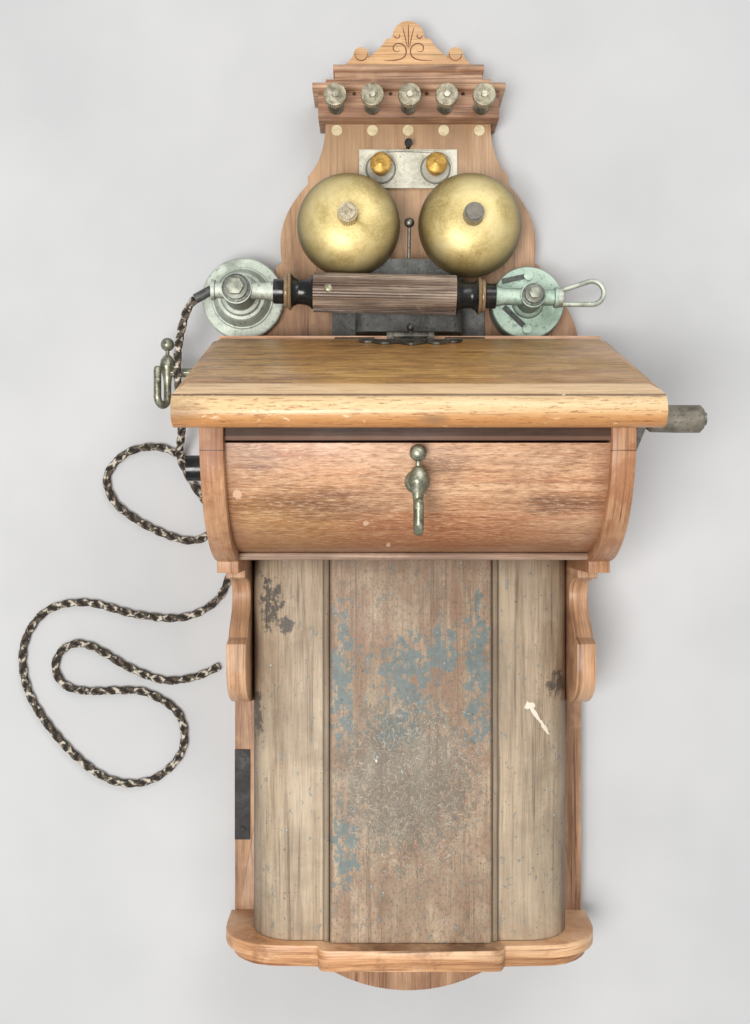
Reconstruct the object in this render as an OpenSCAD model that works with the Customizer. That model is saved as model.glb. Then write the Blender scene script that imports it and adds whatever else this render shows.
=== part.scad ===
// Magneto wall telephone with a writing-slope lid, lying on its back.
// X points right, Y up the wall towards the crest, Z out of the wall. The wall face is z = 0.

/* [Backboard] */
// Thickness of the backboard
board_t = 20; // [14:1:26]
// Overhang of the board past the box sides
board_over = 3; // [1:0.5:6]
// Half width of the board at its upper shoulders
shoulder_hw = 93; // [88:1:98]
// Half width of the board behind the terminals
neck_hw = 60; // [56:1:63]
// Radius of the rounded apron under the shelf
apron_r = 115; // [100:1:130]
// Depth of the apron below the shelf
apron_h = 43; // [30:1:50]
// Radius of the four wall screw holes
wall_hole_r = 2.75; // [2:0.25:4]
// Distance between the wall screw holes across the board
wall_hole_dx = 160; // [140:1:170]
// Distance between the wall screw holes up the board
wall_hole_dy = 200; // [150:1:220]

/* [Crest and cornice] */
// Underside height of the cornice shelf
cornice_y = 300; // [296:1:304]
// Width of the cornice shelf
cornice_w = 137; // [124:1:146]
// Thickness of each cornice moulding
mould_t = 5; // [4:0.5:6]
// Height of the frieze between the mouldings
frieze_h = 7; // [5:0.5:9]
// Width of the frieze
frieze_w = 106; // [98:1:108]
// Height of the carved crest
crest_h = 33; // [28:1:40]
// Thickness of the crest
crest_t = 12; // [8:1:16]
// Radius of the round scrolls at the ends of the crest
scroll_r = 5.6; // [4:0.1:6]

/* [Terminals and arrester] */
// Distance between neighbouring terminals
terminal_pitch = 25.8; // [23:0.2:27]
// Radius of the knurled terminal nuts
nut_r = 8; // [6:0.25:9]
// Thickness of the knurled rim of a terminal nut
nut_t = 6; // [4:0.5:8]
// Projection of the terminal posts from their block
post_h = 27; // [22:0.5:32]
// Radius of the terminal studs
stud_r = 2; // [1.5:0.1:2.5]
// Width of the terminal block
block_w = 129; // [122:1:134]
// Height of the terminal block
block_h = 19; // [17:0.5:21]
// Thickness of the terminal block
block_t = 14; // [11:0.5:17]
// Radius of the ivory label discs
label_r = 3.9; // [3:0.1:5]
// Width of the arrester plate
arrester_w = 71; // [64:1:78]
// Height of the arrester plate
arrester_h = 28; // [26:0.5:32]
// Thickness of the arrester plate
arrester_t = 2.5; // [2:0.25:3.5]
// Distance between the arrester plugs
plug_pitch = 39.6; // [34:0.2:42]
// Radius of the arrester plug knobs
plug_r = 7.7; // [6:0.1:9]

/* [Bells] */
// Radius of each gong
gong_r = 36.2; // [33:0.1:37]
// Distance between the gong centres
gong_pitch = 85; // [82:0.2:88]
// Height of the gong centres on the board
gong_y = 200.8; // [200:0.2:205]
// Distance from the board to the gong rim
gong_rim = 26; // [22:0.5:30]
// Height of a gong from rim to crown
gong_h = 27; // [22:0.5:32]
// Wall of a gong
gong_t = 2; // [1.5:0.1:2.5]
// Radius of the gong posts
gong_post_r = 4; // [3:0.25:5]
// Radius of the clapper ball
clapper_r = 3.5; // [2.5:0.1:4]
// Width of the ringer cover
ringer_w = 76; // [70:1:80]
// Lower edge of the ringer cover
ringer_y0 = 127; // [126:0.5:130]
// Upper edge of the ringer cover
ringer_y1 = 178; // [176:0.5:181]
// Depth of the ringer cover from the board
ringer_d = 25; // [24:0.5:25.5]
// Wall of the ringer cover
ringer_t = 1.5; // [1:0.1:2]
// Radius of a ringer coil
coil_r = 9; // [7:0.25:10]
// Radius of the pin that carries the ringer armature
armature_pin_r = 1.5; // [1:0.1:2]

/* [Magneto box] */
// Half width of the box over its sides
box_hw = 122.5; // [120:0.5:124]
// Thickness of the box sides
side_t = 13.5; // [11:0.5:15]
// Radius of the rounded front of the box
front_r = 79; // [75:1:82]
// Height of the centre of that rounding
front_cy = 48; // [46:0.5:50]
// Distance from the wall to the centre of that rounding
front_cz = 131; // [128:1:134]
// Setback of the front panel behind the side edges
panel_set = 6; // [4:0.5:8]
// Thickness of the front panel
panel_t = 9; // [7:0.5:12]
// Thickness of the bottom board
bottom_t = 4.7; // [4:0.1:6]
// Depth of the sides' feet below the rounding of the front
foot_h = 7; // [5:0.5:9]
// Height of the top rail over the front panel
rail_h = 9; // [7:0.5:11]

/* [Lid] */
// Overhang of the lid past the box sides
lid_over = 12.5; // [8:0.5:14]
// Slope of the lid below level
lid_slope = 18; // [17:0.5:19]
// Length of the lid down the slope
lid_len = 181; // [176:1:186]
// Thickness of the lid
lid_t = 19; // [17:0.5:20]
// Rise of the raised panel over the lid
panel_rise = 3; // [2:0.25:4]
// Distance from the wall to the hinge line
hinge_z = 60; // [58:0.5:64]
// Height of the hinge line
hinge_y = 118; // [117:0.25:118]
// Thickness of the hinge rail's upstand
rail_t = 7; // [5:0.5:9]
// Radius of the hinge knuckles
knuckle_r = 2.4; // [2:0.1:3]
// Radius of the hinge pins
hinge_pin_r = 1.2; // [0.8:0.1:1.5]

/* [Magneto and crank] */
// Distance from the wall to the crank shaft
shaft_z = 105; // [100:1:110]
// Height of the crank shaft
shaft_y = 35; // [33:0.5:38]
// Radius of the crank shaft
shaft_r = 4; // [3:0.25:5]
// Teeth on the drive gear
gear_teeth = 70; // [60:2:72]
// Teeth on the armature pinion
pinion_teeth = 14; // [12:1:16]
// Tooth module of the gear pair
gear_module = 1; // [0.9:0.05:1]
// Width of the gear teeth
gear_w = 6; // [4:0.5:7]
// Radius of the magneto armature
armature_r = 15; // [13:0.5:16]
// Width of one horseshoe magnet
magnet_w = 17; // [14:0.5:18]
// Thickness of the magnet bars
magnet_t = 10; // [8:0.5:11]
// Length of the crank arm
crank_len = 50; // [42:1:54]
// Angle of the crank arm above the outward direction
crank_angle = 26; // [0:1:60]
// Radius of the crank handle
handle_r = 8.5; // [7:0.25:10]
// Length of the crank handle
handle_len = 34; // [28:1:42]

/* [Hooks] */
// Height of the switch hook arm
hook_y = 99; // [98:0.25:99.25]
// Distance from the wall to the switch hook arm
hook_z = 36; // [34:0.5:37]
// Distance from the box centre to the switch hook
hook_x = 171.5; // [168:0.5:174]
// Radius of the hook wire
hook_r = 2.7; // [2.2:0.1:3]
// Bend radius of the hook throat
throat_r = 6; // [5.5:0.25:7]
// Travel of the switch hook in degrees
hook_travel = 8; // [4:1:9]
// Height of the front hook
front_hook_y = 17.5; // [14:0.5:20]

/* [Battery box] */
// Gap between the battery cover and each bracket
cover_gap = 0.7; // [0.5:0.1:3]
// Distance from the wall to the middle panel of the cover
cover_z = 86; // [82:0.5:90]
// Half width of the middle panel
middle_hw = 54; // [48:1:58]
// Step from the middle panel down to the side columns
column_step = 5; // [3:0.5:7]
// Radius of the columns' outer corners
column_r = 30; // [24:1:34]
// Wall of the battery cover
cover_t = 8; // [6:0.5:10]
// Top face height of the bottom shelf
shelf_y = -288; // [-292:1:-284]
// Thickness of the bottom shelf
shelf_t = 16; // [12:0.5:20]
// Overhang of the bottom shelf past the board
shelf_over = 2.5; // [1:0.5:6]
// Height of the scroll brackets
bracket_h = 97; // [88:1:106]
// Distance from the wall to the front of the scroll brackets
bracket_z = 98; // [92:1:104]
// Thickness of the scroll brackets
bracket_t = 12.8; // [10:0.2:13]
// Radius of a dry cell
cell_r = 25; // [20:0.5:26]
// Height of a dry cell
cell_h = 165; // [140:1:175]

/* [Handset] */
// Radius of the ribbed grip
grip_r = 13.6; // [12:0.2:13.8]
// Length of the ribbed grip
grip_len = 98; // [94:1:102]
// Number of ribs round the grip
grip_ribs = 44; // [30:1:56]
// Depth of the grooves between the ribs
rib_depth = 0.7; // [0.4:0.1:1]
// Distance between the centres of the two cups
cup_pitch = 203; // [201:0.5:205]
// Radius of the transmitter cup
mouth_r = 29.2; // [27:0.1:29.4]
// Radius of the receiver cup
ear_r = 26.2; // [24:0.1:26.2]
// Depth of a cup from its rim to its back plate
cup_h = 15; // [13:0.5:18]
// Tilt of the handset as it lies
handset_tilt = -1.3; // [-1.3:0.05:0]
// Radius of the hanging loop's wire
loop_wire_r = 1.75; // [1.4:0.05:2]
// Bend radius of the hanging loop
loop_r = 8; // [7:0.25:9]

/* [Cord] */
// Diameter of the plaited cord
cord_d = 6; // [5:0.25:6]

/* [Hidden] */
$fn = 48;

// Gap between pieces that only rest near each other, and radial gap of a running fit
clear = 0.3;
run = 0.05;

// Heights of the mouldings over the terminals
step_t = 3.5;
frieze_y = cornice_y + mould_t + step_t;
cap_y = frieze_y + frieze_h;
crest_y = cap_y + mould_t;
block_y = cornice_y - block_h;
block_front = board_t + block_t;
terminal_y = block_y + 7.5;
terminal_count = 5;
label_y = block_y - 4.5;
arrester_y = block_y - 32.8;
plug_hole_r = 3.5;

// Board outline heights, tied to the gongs and the bottom shelf
shelf_base = shelf_y - shelf_t;
board_hw = box_hw + board_over;
bead_y = gong_y - 23.5;
notch_y = gong_y + 41.5;
wall_hole_y = shelf_y + 124;

// Bells and ringer
gong_rim_z = board_t + gong_rim;
gong_crown = gong_rim_z + gong_h;
gong_stud_r = 2.4;
clapper_y = gong_y + 1.5;
clapper_z = gong_rim_z + 3.5;
coil_z = board_t + 13;
coil_x = 13;
yoke_y = ringer_y0 + 8;
pivot_y = ringer_y1 - 12;
coil_end = pivot_y - 4.5;
ringer_top = board_t + ringer_d;
ringer_boss = 1;

// Magneto box
in_hw = box_hw - side_t;
lid_hw = box_hw + lid_over;
side_y0 = front_cy - front_r - foot_h;
ledge_t = 6;
ledge_y0 = hinge_y - 15;
rail_hw = lid_hw - 3.5;
rail_top = hinge_y + 3.5;
lid_gap = 0.5;
panel_r = front_r - panel_set;
floor_y = front_cy - panel_r - clear;
rail_y0 = front_cy - rail_h;
rail_joint = 1.3;
knuckle_len = 9;
hinge_x = 38;
leaf_t = 1.2;
leaf_h = 11;

// Note-paper clip, measured down the slope and up from the raised panel
panel_end = lid_len - lid_t / 2 + 1.3;
clip_axis_u = 13;
clip_axis_w = 3;
clip_pin_r = 1;
clip_hw = 35;

// Magneto
centre_dist = gear_module * (gear_teeth + pinion_teeth) / 2;
armature_y = shaft_y - centre_dist;
pole_gap = 0.5;
magnet_count = 3;
magnet_gap = 1;
magnet_x0 = 20;
magnet_x1 = magnet_x0 + magnet_count * magnet_w + (magnet_count - 1) * magnet_gap;
plate_t = 5;
plate_gap = 2;
pole_t = 3;
pole_hw = armature_r + pole_gap + pole_t;
gear_x = magnet_x1 + plate_gap + plate_t + 4;
armature_shaft_r = 3;
bush_hub_r = 8;
bush_flange_t = 3;
crank_gap = 2;
arm_x = box_hw + max(lid_over, bush_flange_t) + crank_gap;
arm_t = 5;
handle_x = arm_x + arm_t + clear;
spindle_r = 2.5;
crank_tip = [shaft_y + crank_len * sin(crank_angle), shaft_z + crank_len * cos(crank_angle)];

// Hooks and the cord bush
arm_r = 3.2;
hook_pivot_x = in_hw - 21;
hook_pivot_y = hook_y - 6;
hook_pin_r = 2.5;
front_hook_z = front_cz + sqrt(panel_r * panel_r - pow(front_cy - front_hook_y, 2));
front_hook_reach = 15;
front_hook_tilt = asin((front_cy - front_hook_y) / panel_r);
bush_y = 29;
bush_z = 90;
bush_r = 8.6;
bush_len = 26;
bush_bore = 3.6;

// Battery box
bracket_y0 = side_y0;
cover_top = floor_y - bottom_t - 1;
bracket_hw = box_hw - 0.5;
cover_hw = min(bracket_hw - bracket_t, in_hw) - cover_gap;
shelf_hw = board_hw + shelf_over;

// Strike plate on the board's left edge
plate_w = 11;
plate_len = 65;
plate_y = shelf_y + 51;
latch_t = 1.5;
screw_r = 2.4;

// Handset, as it lies over the ringer cover
handset_x = -17.3;
handset_y = 150.6;
handset_z = ringer_top + ringer_boss + clear + grip_r;
cup_rim = -36;
cup_plate = cup_rim + cup_h;
cap_t = 3.2;
mouth_hub_r = 10.5;
ear_hub_r = 8.5;
hub_top = 8;
ferrule_len = 27.5;
arm_end = cup_pitch / 2 + 18;

// Route of the cord from the handset's ferrule to its bare end
cord_route = [
    [-148, 147, 59.9], [-154.5, 138.5, 57.5], [-161, 118, 50], [-163, 98, 45], [-160.5, 76, 46],
    [-162, 58, 33], [-166.5, 42, 15], [-163, 30, 7.5], [-158.4, 20.8, 4], [-152.9, 12.3, 3.2],
    [-147.2, 4.6, 3.2], [-143.6, -4.2, 3.2], [-145.3, -13.4, 3.2], [-152.3, -19.8, 3.2], [-161.8, -21.2, 3.2],
    [-171.3, -19.4, 3.2], [-184, -14.5, 3.2], [-201, -5.5, 3.2], [-217, 8, 3.2], [-222, 27, 3.2],
    [-207, 44, 3.2], [-182, 47.5, 3.2], [-160, 35, 3.2], [-140, 12, 3.2], [-130, -12, 3.2],
    [-130, -40, 3.2], [-141, -65, 3.2], [-166, -78, 3.2], [-200, -76, 3.2], [-238, -67, 3.2],
    [-268, -74, 3.2], [-284, -100, 3.2], [-279, -136, 3.2], [-252, -174, 3.2], [-220, -198, 3.2],
    [-189, -198, 3.2], [-167, -177, 3.2], [-169, -150, 3.2], [-192, -134, 3.2], [-213, -132, 3.2],
    [-229, -132.6, 3.2], [-242, -132, 3.2], [-252.4, -128.6, 3.2], [-259.2, -120.4, 3.2], [-259.9, -110, 3.2],
    [-254.2, -101.1, 3.2], [-244.5, -97.3, 3.2], [-234, -99.3, 3.2], [-223, -105, 3.2], [-204, -116, 3.2],
    [-180, -124.5, 3.2], [-157, -122, 3.2], [-139, -114, 3.2]
];
cord_sides = 8;

// Curves as lists of points
function bez(a, b, c, d, n = 8) = [
    for (i = [0 : n])
        let (t = i / n, s = 1 - t)
        s * s * s * a + 3 * s * s * t * b + 3 * s * t * t * c + t * t * t * d
];
function arc(c, r, a0, a1, n = 10) = [
    for (i = [0 : n])
        let (a = a0 + (a1 - a0) * i / n)
        c + r * [cos(a), sin(a)]
];
function flip(pts) = [for (i = [len(pts) - 1 : -1 : 0]) [-pts[i][0], pts[i][1]]];
function both(pts) = concat(pts, flip(pts));

// Height of the lid's underside at a distance z from the wall, and a point of the lid's section
function under(z) = hinge_y - lid_t / cos(lid_slope) - (z - hinge_z) * tan(lid_slope);
function on_lid(u, w) = [
    hinge_z + u * cos(lid_slope) + w * sin(lid_slope),
    hinge_y - u * sin(lid_slope) + w * cos(lid_slope)
];

// A round bar between two points
module rod(p, q, r) {
    v = q - p;
    len_pq = norm(v);
    translate(p)
        rotate([0, acos(v[2] / len_pq), atan2(v[1], v[0])])
            cylinder(h = len_pq, r = r);
}

// A cylinder along X
module rod_x(x0, x1, y, z, r) {
    translate([x0, y, z])
        rotate([0, 90, 0])
            cylinder(h = x1 - x0, r = r);
}

// A box from its lowest to its highest corner
module block(lo, hi) {
    translate(lo)
        cube(hi - lo);
}

// A section of [z, y] points, extruded along X from x0 to x1
module across(x0, x1) {
    translate([x1, 0, 0])
        rotate([0, -90, 0])
            linear_extrude(x1 - x0)
                children();
}

// A plan of [x, z] points, extruded along Y from y0 to y1
module upward(y0, y1) {
    translate([0, y1, 0])
        rotate([90, 0, 0])
            linear_extrude(y1 - y0)
                children();
}

// A disc with fine grooves round its edge
module knurled(r, h, grooves) {
    linear_extrude(h)
        polygon([
            for (i = [0 : 2 * grooves - 1])
                let (a = 180 * i / grooves, rr = i % 2 == 0 ? r : r - 0.5)
                rr * [cos(a), sin(a)]
        ]);
}

function terminal_x(i) = (i - (terminal_count - 1) / 2) * terminal_pitch;

function board_half() = concat(
    arc([0, shelf_base - apron_h + apron_r], apron_r, -88, -90 + acos(1 - apron_h / apron_r), 10),
    [[board_hw, shelf_base]],
    bez([board_hw, ledge_y0], [board_hw, hinge_y + 25], [shoulder_hw + 19, hinge_y + 34],
        [shoulder_hw + 3, bead_y - 1]),
    [[shoulder_hw + 2, bead_y + 1.5]],
    bez([shoulder_hw - 1.5, bead_y + 3.2], [shoulder_hw + 2, bead_y + 25.7],
        [shoulder_hw - 2.5, notch_y - 23.8], [neck_hw + 12.5, notch_y - 4.3]),
    bez([neck_hw + 12.8, notch_y + 1], [neck_hw + 8, notch_y + 6.2], [neck_hw + 2, notch_y + 14],
        [neck_hw, notch_y + 33]),
    [[neck_hw, cornice_y]]
);

module backboard() {
    color("saddlebrown")
        difference() {
            linear_extrude(board_t)
                polygon(both(board_half()));
            for (sx = [-1, 1], sy = [-1, 1])
                translate([sx * wall_hole_dx / 2, wall_hole_y + sy * wall_hole_dy / 2, -1])
                    cylinder(h = board_t + 2, r = wall_hole_r);
        }
}

function crest_half() = let (lobe_r = 11.5, sx = 34, sy = scroll_r + 3) concat(
    [[frieze_w / 2 - 5, 0]],
    bez([sx + 13, 1], [sx + 10, 2], [sx + scroll_r + 1, sy - 3], [sx + scroll_r, sy], 4),
    arc([sx, sy], scroll_r, 20, 210, 8),
    bez([sx - 6, sy - 1.5], [sx - 10, sy + 2], [lobe_r + 8, sy + 5], [lobe_r + 5, crest_h - 14], 6),
    [[lobe_r + 4, crest_h - 12.8], [lobe_r + 1, crest_h - 12.5]],
    arc([0, crest_h - lobe_r], lobe_r, 0, 88, 8)
);

module crest() {
    color("peru")
        translate([0, crest_y, board_t - 6])
            linear_extrude(crest_t)
                polygon(both(crest_half()));
}

// One rounded-edge moulding of the cornice
module moulding(hw, y, t, front) {
    e = t / 2;
    across(-hw, hw)
        polygon(concat([[0, y]], arc([front - e, y + e], e, -90, 90, 6), [[0, y + t]]));
}

module cornice() {
    color("sienna") {
        moulding(cornice_w / 2, cornice_y, mould_t, board_t + 19);
        block([-frieze_w / 2 - 6, cornice_y + mould_t, 0], [frieze_w / 2 + 6, frieze_y, board_t + 14]);
        block([-frieze_w / 2, frieze_y, 0], [frieze_w / 2, cap_y, board_t + 8]);
        moulding(frieze_w / 2 + 1, cap_y, mould_t, board_t + 12);
    }
}

module terminal_block() {
    wire_r = 1.4;
    color("sienna")
        difference() {
            union() {
                block([-block_w / 2, block_y, board_t], [block_w / 2, cornice_y, block_front]);
                block([-block_w / 2, block_y, 0], [-neck_hw - clear, cornice_y, board_t + 1]);
                block([neck_hw + clear, block_y, 0], [block_w / 2, cornice_y, board_t + 1]);
            }
            for (i = [0 : terminal_count - 1])
                translate([terminal_x(i), terminal_y, board_t - 1])
                    cylinder(h = block_t + 2, r = stud_r + run);
            for (i = [0 : terminal_count - 2])
                translate([terminal_x(i + 0.5), cornice_y - wire_r - 0.5, block_front - 6])
                    cylinder(h = 7, r = wire_r);
        }
}

module terminal_posts() {
    flange_r = 5.5;
    color("darkgoldenrod")
        for (i = [0 : terminal_count - 1])
            translate([terminal_x(i), terminal_y, 0]) {
                translate([0, 0, board_t + clear])
                    cylinder(h = block_t + post_h - clear, r = stud_r);
                translate([0, 0, block_front])
                    cylinder(h = 2, r = flange_r);
            }
}

module terminal_nuts() {
    hub_h = 9;
    top = block_front + post_h - 1;
    color("darkkhaki")
        for (i = [0 : terminal_count - 1])
            translate([terminal_x(i), terminal_y, top - nut_t])
                difference() {
                    union() {
                        knurled(nut_r, nut_t, 30);
                        translate([0, 0, -hub_h])
                            cylinder(h = hub_h, r = nut_r - 3);
                    }
                    translate([0, 0, -hub_h - 1])
                        cylinder(h = hub_h + nut_t + 2, r = stud_r + run);
                }
}

module label_discs() {
    color("ivory")
        for (i = [0 : terminal_count - 1])
            translate([terminal_x(i), label_y, board_t])
                cylinder(h = 0.8, r = label_r);
}

module arrester_plate() {
    ring_r = 12.2;
    color("silver")
        difference() {
            block([-arrester_w / 2, arrester_y - arrester_h / 2, board_t],
                [arrester_w / 2, arrester_y + arrester_h / 2, board_t + arrester_t]);
            for (sx = [-1, 1])
                translate([sx * plug_pitch / 2, arrester_y, board_t]) {
                    translate([0, 0, -1])
                        cylinder(h = arrester_t + 2, r = plug_hole_r + run);
                    translate([0, 0, arrester_t - 0.8])
                        difference() {
                            cylinder(h = 2, r = ring_r);
                            translate([0, 0, -1])
                                cylinder(h = 4, r = ring_r - 1.6);
                        }
                }
        }
}

module arrester_plugs() {
    z0 = board_t + arrester_t;
    color("gold")
        for (sx = [-1, 1])
            translate([sx * plug_pitch / 2, arrester_y, 0])
                rotate_extrude()
                    polygon([
                        [0, board_t + clear], [plug_hole_r, board_t + clear], [plug_hole_r, z0],
                        [plug_r - 2.2, z0], [plug_r - 2.2, z0 + 8], [plug_r - 0.5, z0 + 9],
                        [plug_r, z0 + 10], [plug_r, z0 + 13.5], [plug_r - 0.7, z0 + 14.2], [1, z0 + 16.5],
                        [0, z0 + 16]
                    ]);
}

// Section of a gong wall, from the outer rim over the crown and back inside
function gong_wall() = concat(
    bez([gong_r, 0], [gong_r - 0.2, gong_h * 0.5], [gong_r * 0.78, gong_h], [gong_stud_r, gong_h], 12),
    bez([gong_stud_r, gong_h - gong_t], [gong_r * 0.75, gong_h - gong_t],
        [gong_r - 0.3 - gong_t, gong_h * 0.46], [gong_r - gong_t, 0], 12)
);

module gong(sx) {
    color("goldenrod")
        translate([sx * gong_pitch / 2, gong_y, gong_rim_z])
            difference() {
                rotate_extrude()
                    polygon(gong_wall());
                translate([0, 0, gong_h - gong_t - 2])
                    cylinder(h = gong_t + 4, r = gong_stud_r + run);
            }
}

module gong_left() {
    gong(-1);
}

module gong_right() {
    gong(1);
}

module gong_posts() {
    color("dimgray")
        for (sx = [-1, 1])
            translate([sx * gong_pitch / 2, gong_y, board_t]) {
                cylinder(h = gong_crown - gong_t - 0.1 - board_t, r = gong_post_r);
                cylinder(h = gong_crown + 8 - board_t, r = gong_stud_r);
                cylinder(h = 4, r = gong_post_r + 4);
            }
}

module gong_screws() {
    knob_r = 7;
    knob_h = 13;
    color("darkkhaki")
        for (sx = [-1, 1])
            translate([sx * gong_pitch / 2, gong_y, gong_crown + 0.1])
                difference() {
                    union() {
                        knurled(knob_r, knob_h - 2, 26);
                        cylinder(h = knob_h, r = knob_r - 1.5);
                    }
                    translate([0, 0, -1])
                        cylinder(h = 10, r = gong_stud_r + run);
                }
}

module ringer_frame() {
    hw = 26;
    color("dimgray") {
        block([-hw, yoke_y - 4, board_t], [hw, pivot_y + 5, board_t + 2]);
        block([-hw, yoke_y - 4, board_t], [hw, yoke_y, coil_z + 9]);
        translate([0, pivot_y, board_t])
            cylinder(h = 5, r = armature_pin_r + 3);
        translate([0, pivot_y, board_t])
            cylinder(h = ringer_d - ringer_t - 2, r = armature_pin_r);
    }
}

module ringer_coils() {
    cheek = 2;
    color("darkred")
        for (sx = [-1, 1])
            translate([sx * coil_x, yoke_y, coil_z])
                rotate([-90, 0, 0]) {
                    cylinder(h = coil_end - yoke_y, r = 3);
                    cylinder(h = cheek, r = coil_r + 0.6);
                    cylinder(h = coil_end - yoke_y - 3, r = coil_r);
                    translate([0, 0, coil_end - yoke_y - 3])
                        cylinder(h = cheek, r = coil_r + 0.6);
                }
}

// Section of the ringer cover in [x, z], with rounded upper edges
function hood(hw, top, r) = both(concat(
    [[hw, board_t]],
    arc([hw - r, top - r], r, 0, 90, 6)
));

module ringer_cover() {
    corner = 8;
    hw = ringer_w / 2;
    foot = 17;
    slot_hw = 4;
    color("slategray") {
        difference() {
            upward(ringer_y0, ringer_y1)
                polygon(hood(hw, ringer_top, corner));
            upward(ringer_y0 + ringer_t, ringer_y1 - ringer_t)
                translate([0, -0.01])
                    polygon(hood(hw - ringer_t, ringer_top - ringer_t, corner - ringer_t));
            block([-slot_hw, ringer_y1 - ringer_t - 1, coil_z - 2],
                [slot_hw, ringer_y1 + 1, ringer_top - ringer_t - 1]);
        }
        block([hw - ringer_t, ringer_y0, board_t], [hw + foot, ringer_y1 - 12, board_t + 2.5]);
        block([-hw - foot, ringer_y0, board_t], [ringer_t - hw, ringer_y1 - 12, board_t + 2.5]);
        translate([0, ringer_y0 + 9, ringer_top - 1])
            cylinder(h = 1 + ringer_boss, r = 8.5);
    }
}

module clapper() {
    bar_hw = 21;
    hub_z = coil_z - 5;
    hub_h = 12;
    color("darkgray") {
        difference() {
            union() {
                block([-bar_hw, pivot_y - 2.5, coil_z - 4], [bar_hw, pivot_y + 2.5, coil_z + 4]);
                translate([0, pivot_y, hub_z])
                    cylinder(h = hub_h, r = 4.5);
            }
            translate([0, pivot_y, hub_z - 1])
                cylinder(h = hub_h + 2, r = armature_pin_r + run);
        }
        rod([0, pivot_y + 3, coil_z + 1], [0, clapper_y, clapper_z], 1.2);
        translate([0, clapper_y, clapper_z])
            sphere(r = clapper_r);
    }
}

// Side of the box in [z, y]: a foot, a rounded front, a sloping top and a step up to the hinge ledge
function side_profile() = let (foot_a = -86) concat(
    [[board_t, side_y0], [front_cz + front_r * cos(foot_a), side_y0]],
    arc([front_cz, front_cy], front_r, foot_a, 0, 16),
    [
        [front_cz + front_r, under(front_cz + front_r) - lid_gap],
        [hinge_z, under(hinge_z) - lid_gap], [hinge_z, ledge_y0], [board_t, ledge_y0]
    ]
);

module side_left() {
    slot = arm_r + 0.8;
    drop = (box_hw - hook_pivot_x) * tan(hook_travel) + arm_r + 0.8;
    color("sienna")
        difference() {
            across(-box_hw, -in_hw)
                polygon(side_profile());
            block([-box_hw - 1, hook_y - drop, hook_z - slot], [-in_hw + 1, ledge_y0 + 1, hook_z + slot]);
            rod_x(-box_hw - 1, -in_hw + 1, bush_y, bush_z, bush_r - 2.5 + run);
        }
}

module side_right() {
    color("sienna")
        difference() {
            across(in_hw, box_hw)
                polygon(side_profile());
            rod_x(in_hw - 1, box_hw + 1, shaft_y, shaft_z, bush_hub_r + run);
        }
}

module front_panel() {
    top_a = asin((rail_y0 - front_cy) / panel_r);
    color("indianred")
        difference() {
            across(-in_hw, in_hw)
                polygon(concat(
                    arc([front_cz, front_cy], panel_r, -90, top_a, 16),
                    arc([front_cz, front_cy], panel_r - panel_t, top_a, -90, 16)
                ));
            translate([0, front_hook_y, front_hook_z - 3 * panel_t])
                cylinder(h = 4 * panel_t, r = arm_r + run);
        }
}

module top_rail() {
    z1 = front_cz + panel_r;
    color("rosybrown")
        across(-in_hw, in_hw)
            polygon([
                [z1 - panel_t, rail_y0 + rail_joint], [z1 + 1.5, rail_y0 + rail_joint],
                [z1 + 1.5, under(z1 + 1.5) - lid_gap], [z1 - panel_t, under(z1 - panel_t) - lid_gap]
            ]);
}

module bottom_board() {
    lip = 4;
    nose = bottom_t / 2;
    color("sienna") {
        across(-in_hw, in_hw)
            polygon(concat(
                [[board_t, floor_y - bottom_t]],
                arc([front_cz + 2, floor_y - nose], nose, -90, 90, 6),
                [[board_t, floor_y]]
            ));
        block([-in_hw, floor_y, front_cz - lip], [in_hw, front_cy - panel_r + panel_t, front_cz]);
    }
}

module hinge_rail() {
    color("burlywood")
        difference() {
            across(-rail_hw, rail_hw)
                polygon([
                    [board_t, ledge_y0], [hinge_z, ledge_y0], [hinge_z, rail_top],
                    [hinge_z - rail_t, rail_top], [hinge_z - rail_t, ledge_y0 + ledge_t],
                    [board_t, ledge_y0 + ledge_t]
                ]);
            for (sx = [-1, 1]) {
                block([sx * hinge_x - 1.5 * knuckle_len - clear, hinge_y - leaf_h, hinge_z - leaf_t],
                    [sx * hinge_x + 1.5 * knuckle_len + clear, hinge_y, hinge_z + 1]);
                rod_x(sx * hinge_x - 1.5 * knuckle_len - clear, sx * hinge_x + 1.5 * knuckle_len + clear,
                    hinge_y, hinge_z, knuckle_r + clear);
            }
        }
}

// One leaf of a butt hinge, with its knuckles centred at the listed places
module leaf(z0, z1, places) {
    gap = 0.15;
    half = knuckle_len / 2 - gap;
    for (sx = [-1, 1]) {
        difference() {
            block([sx * hinge_x - 1.5 * knuckle_len, hinge_y - leaf_h, z0],
                [sx * hinge_x + 1.5 * knuckle_len, hinge_y, z1]);
            for (k = [-1 : 1])
                rod_x(sx * hinge_x + k * knuckle_len - knuckle_len / 2,
                    sx * hinge_x + k * knuckle_len + knuckle_len / 2,
                    hinge_y, hinge_z, knuckle_r + clear);
        }
        for (k = places) {
            block([sx * hinge_x + k * knuckle_len - half, hinge_y - knuckle_r - 1, z0],
                [sx * hinge_x + k * knuckle_len + half, hinge_y, z1]);
            rod_x(sx * hinge_x + k * knuckle_len - half, sx * hinge_x + k * knuckle_len + half,
                hinge_y, hinge_z, knuckle_r);
        }
    }
}

module hinge_leaves() {
    color("darkgray") {
        difference() {
            leaf(hinge_z - leaf_t, hinge_z, [-1, 1]);
            for (sx = [-1, 1])
                rod_x(sx * hinge_x - knuckle_len / 2, sx * hinge_x + knuckle_len / 2, hinge_y, hinge_z,
                    knuckle_r + clear);
        }
        for (sx = [-1, 1])
            rod_x(sx * hinge_x - 1.4 * knuckle_len, sx * hinge_x + 1.4 * knuckle_len, hinge_y, hinge_z,
                hinge_pin_r);
    }
}

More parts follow.
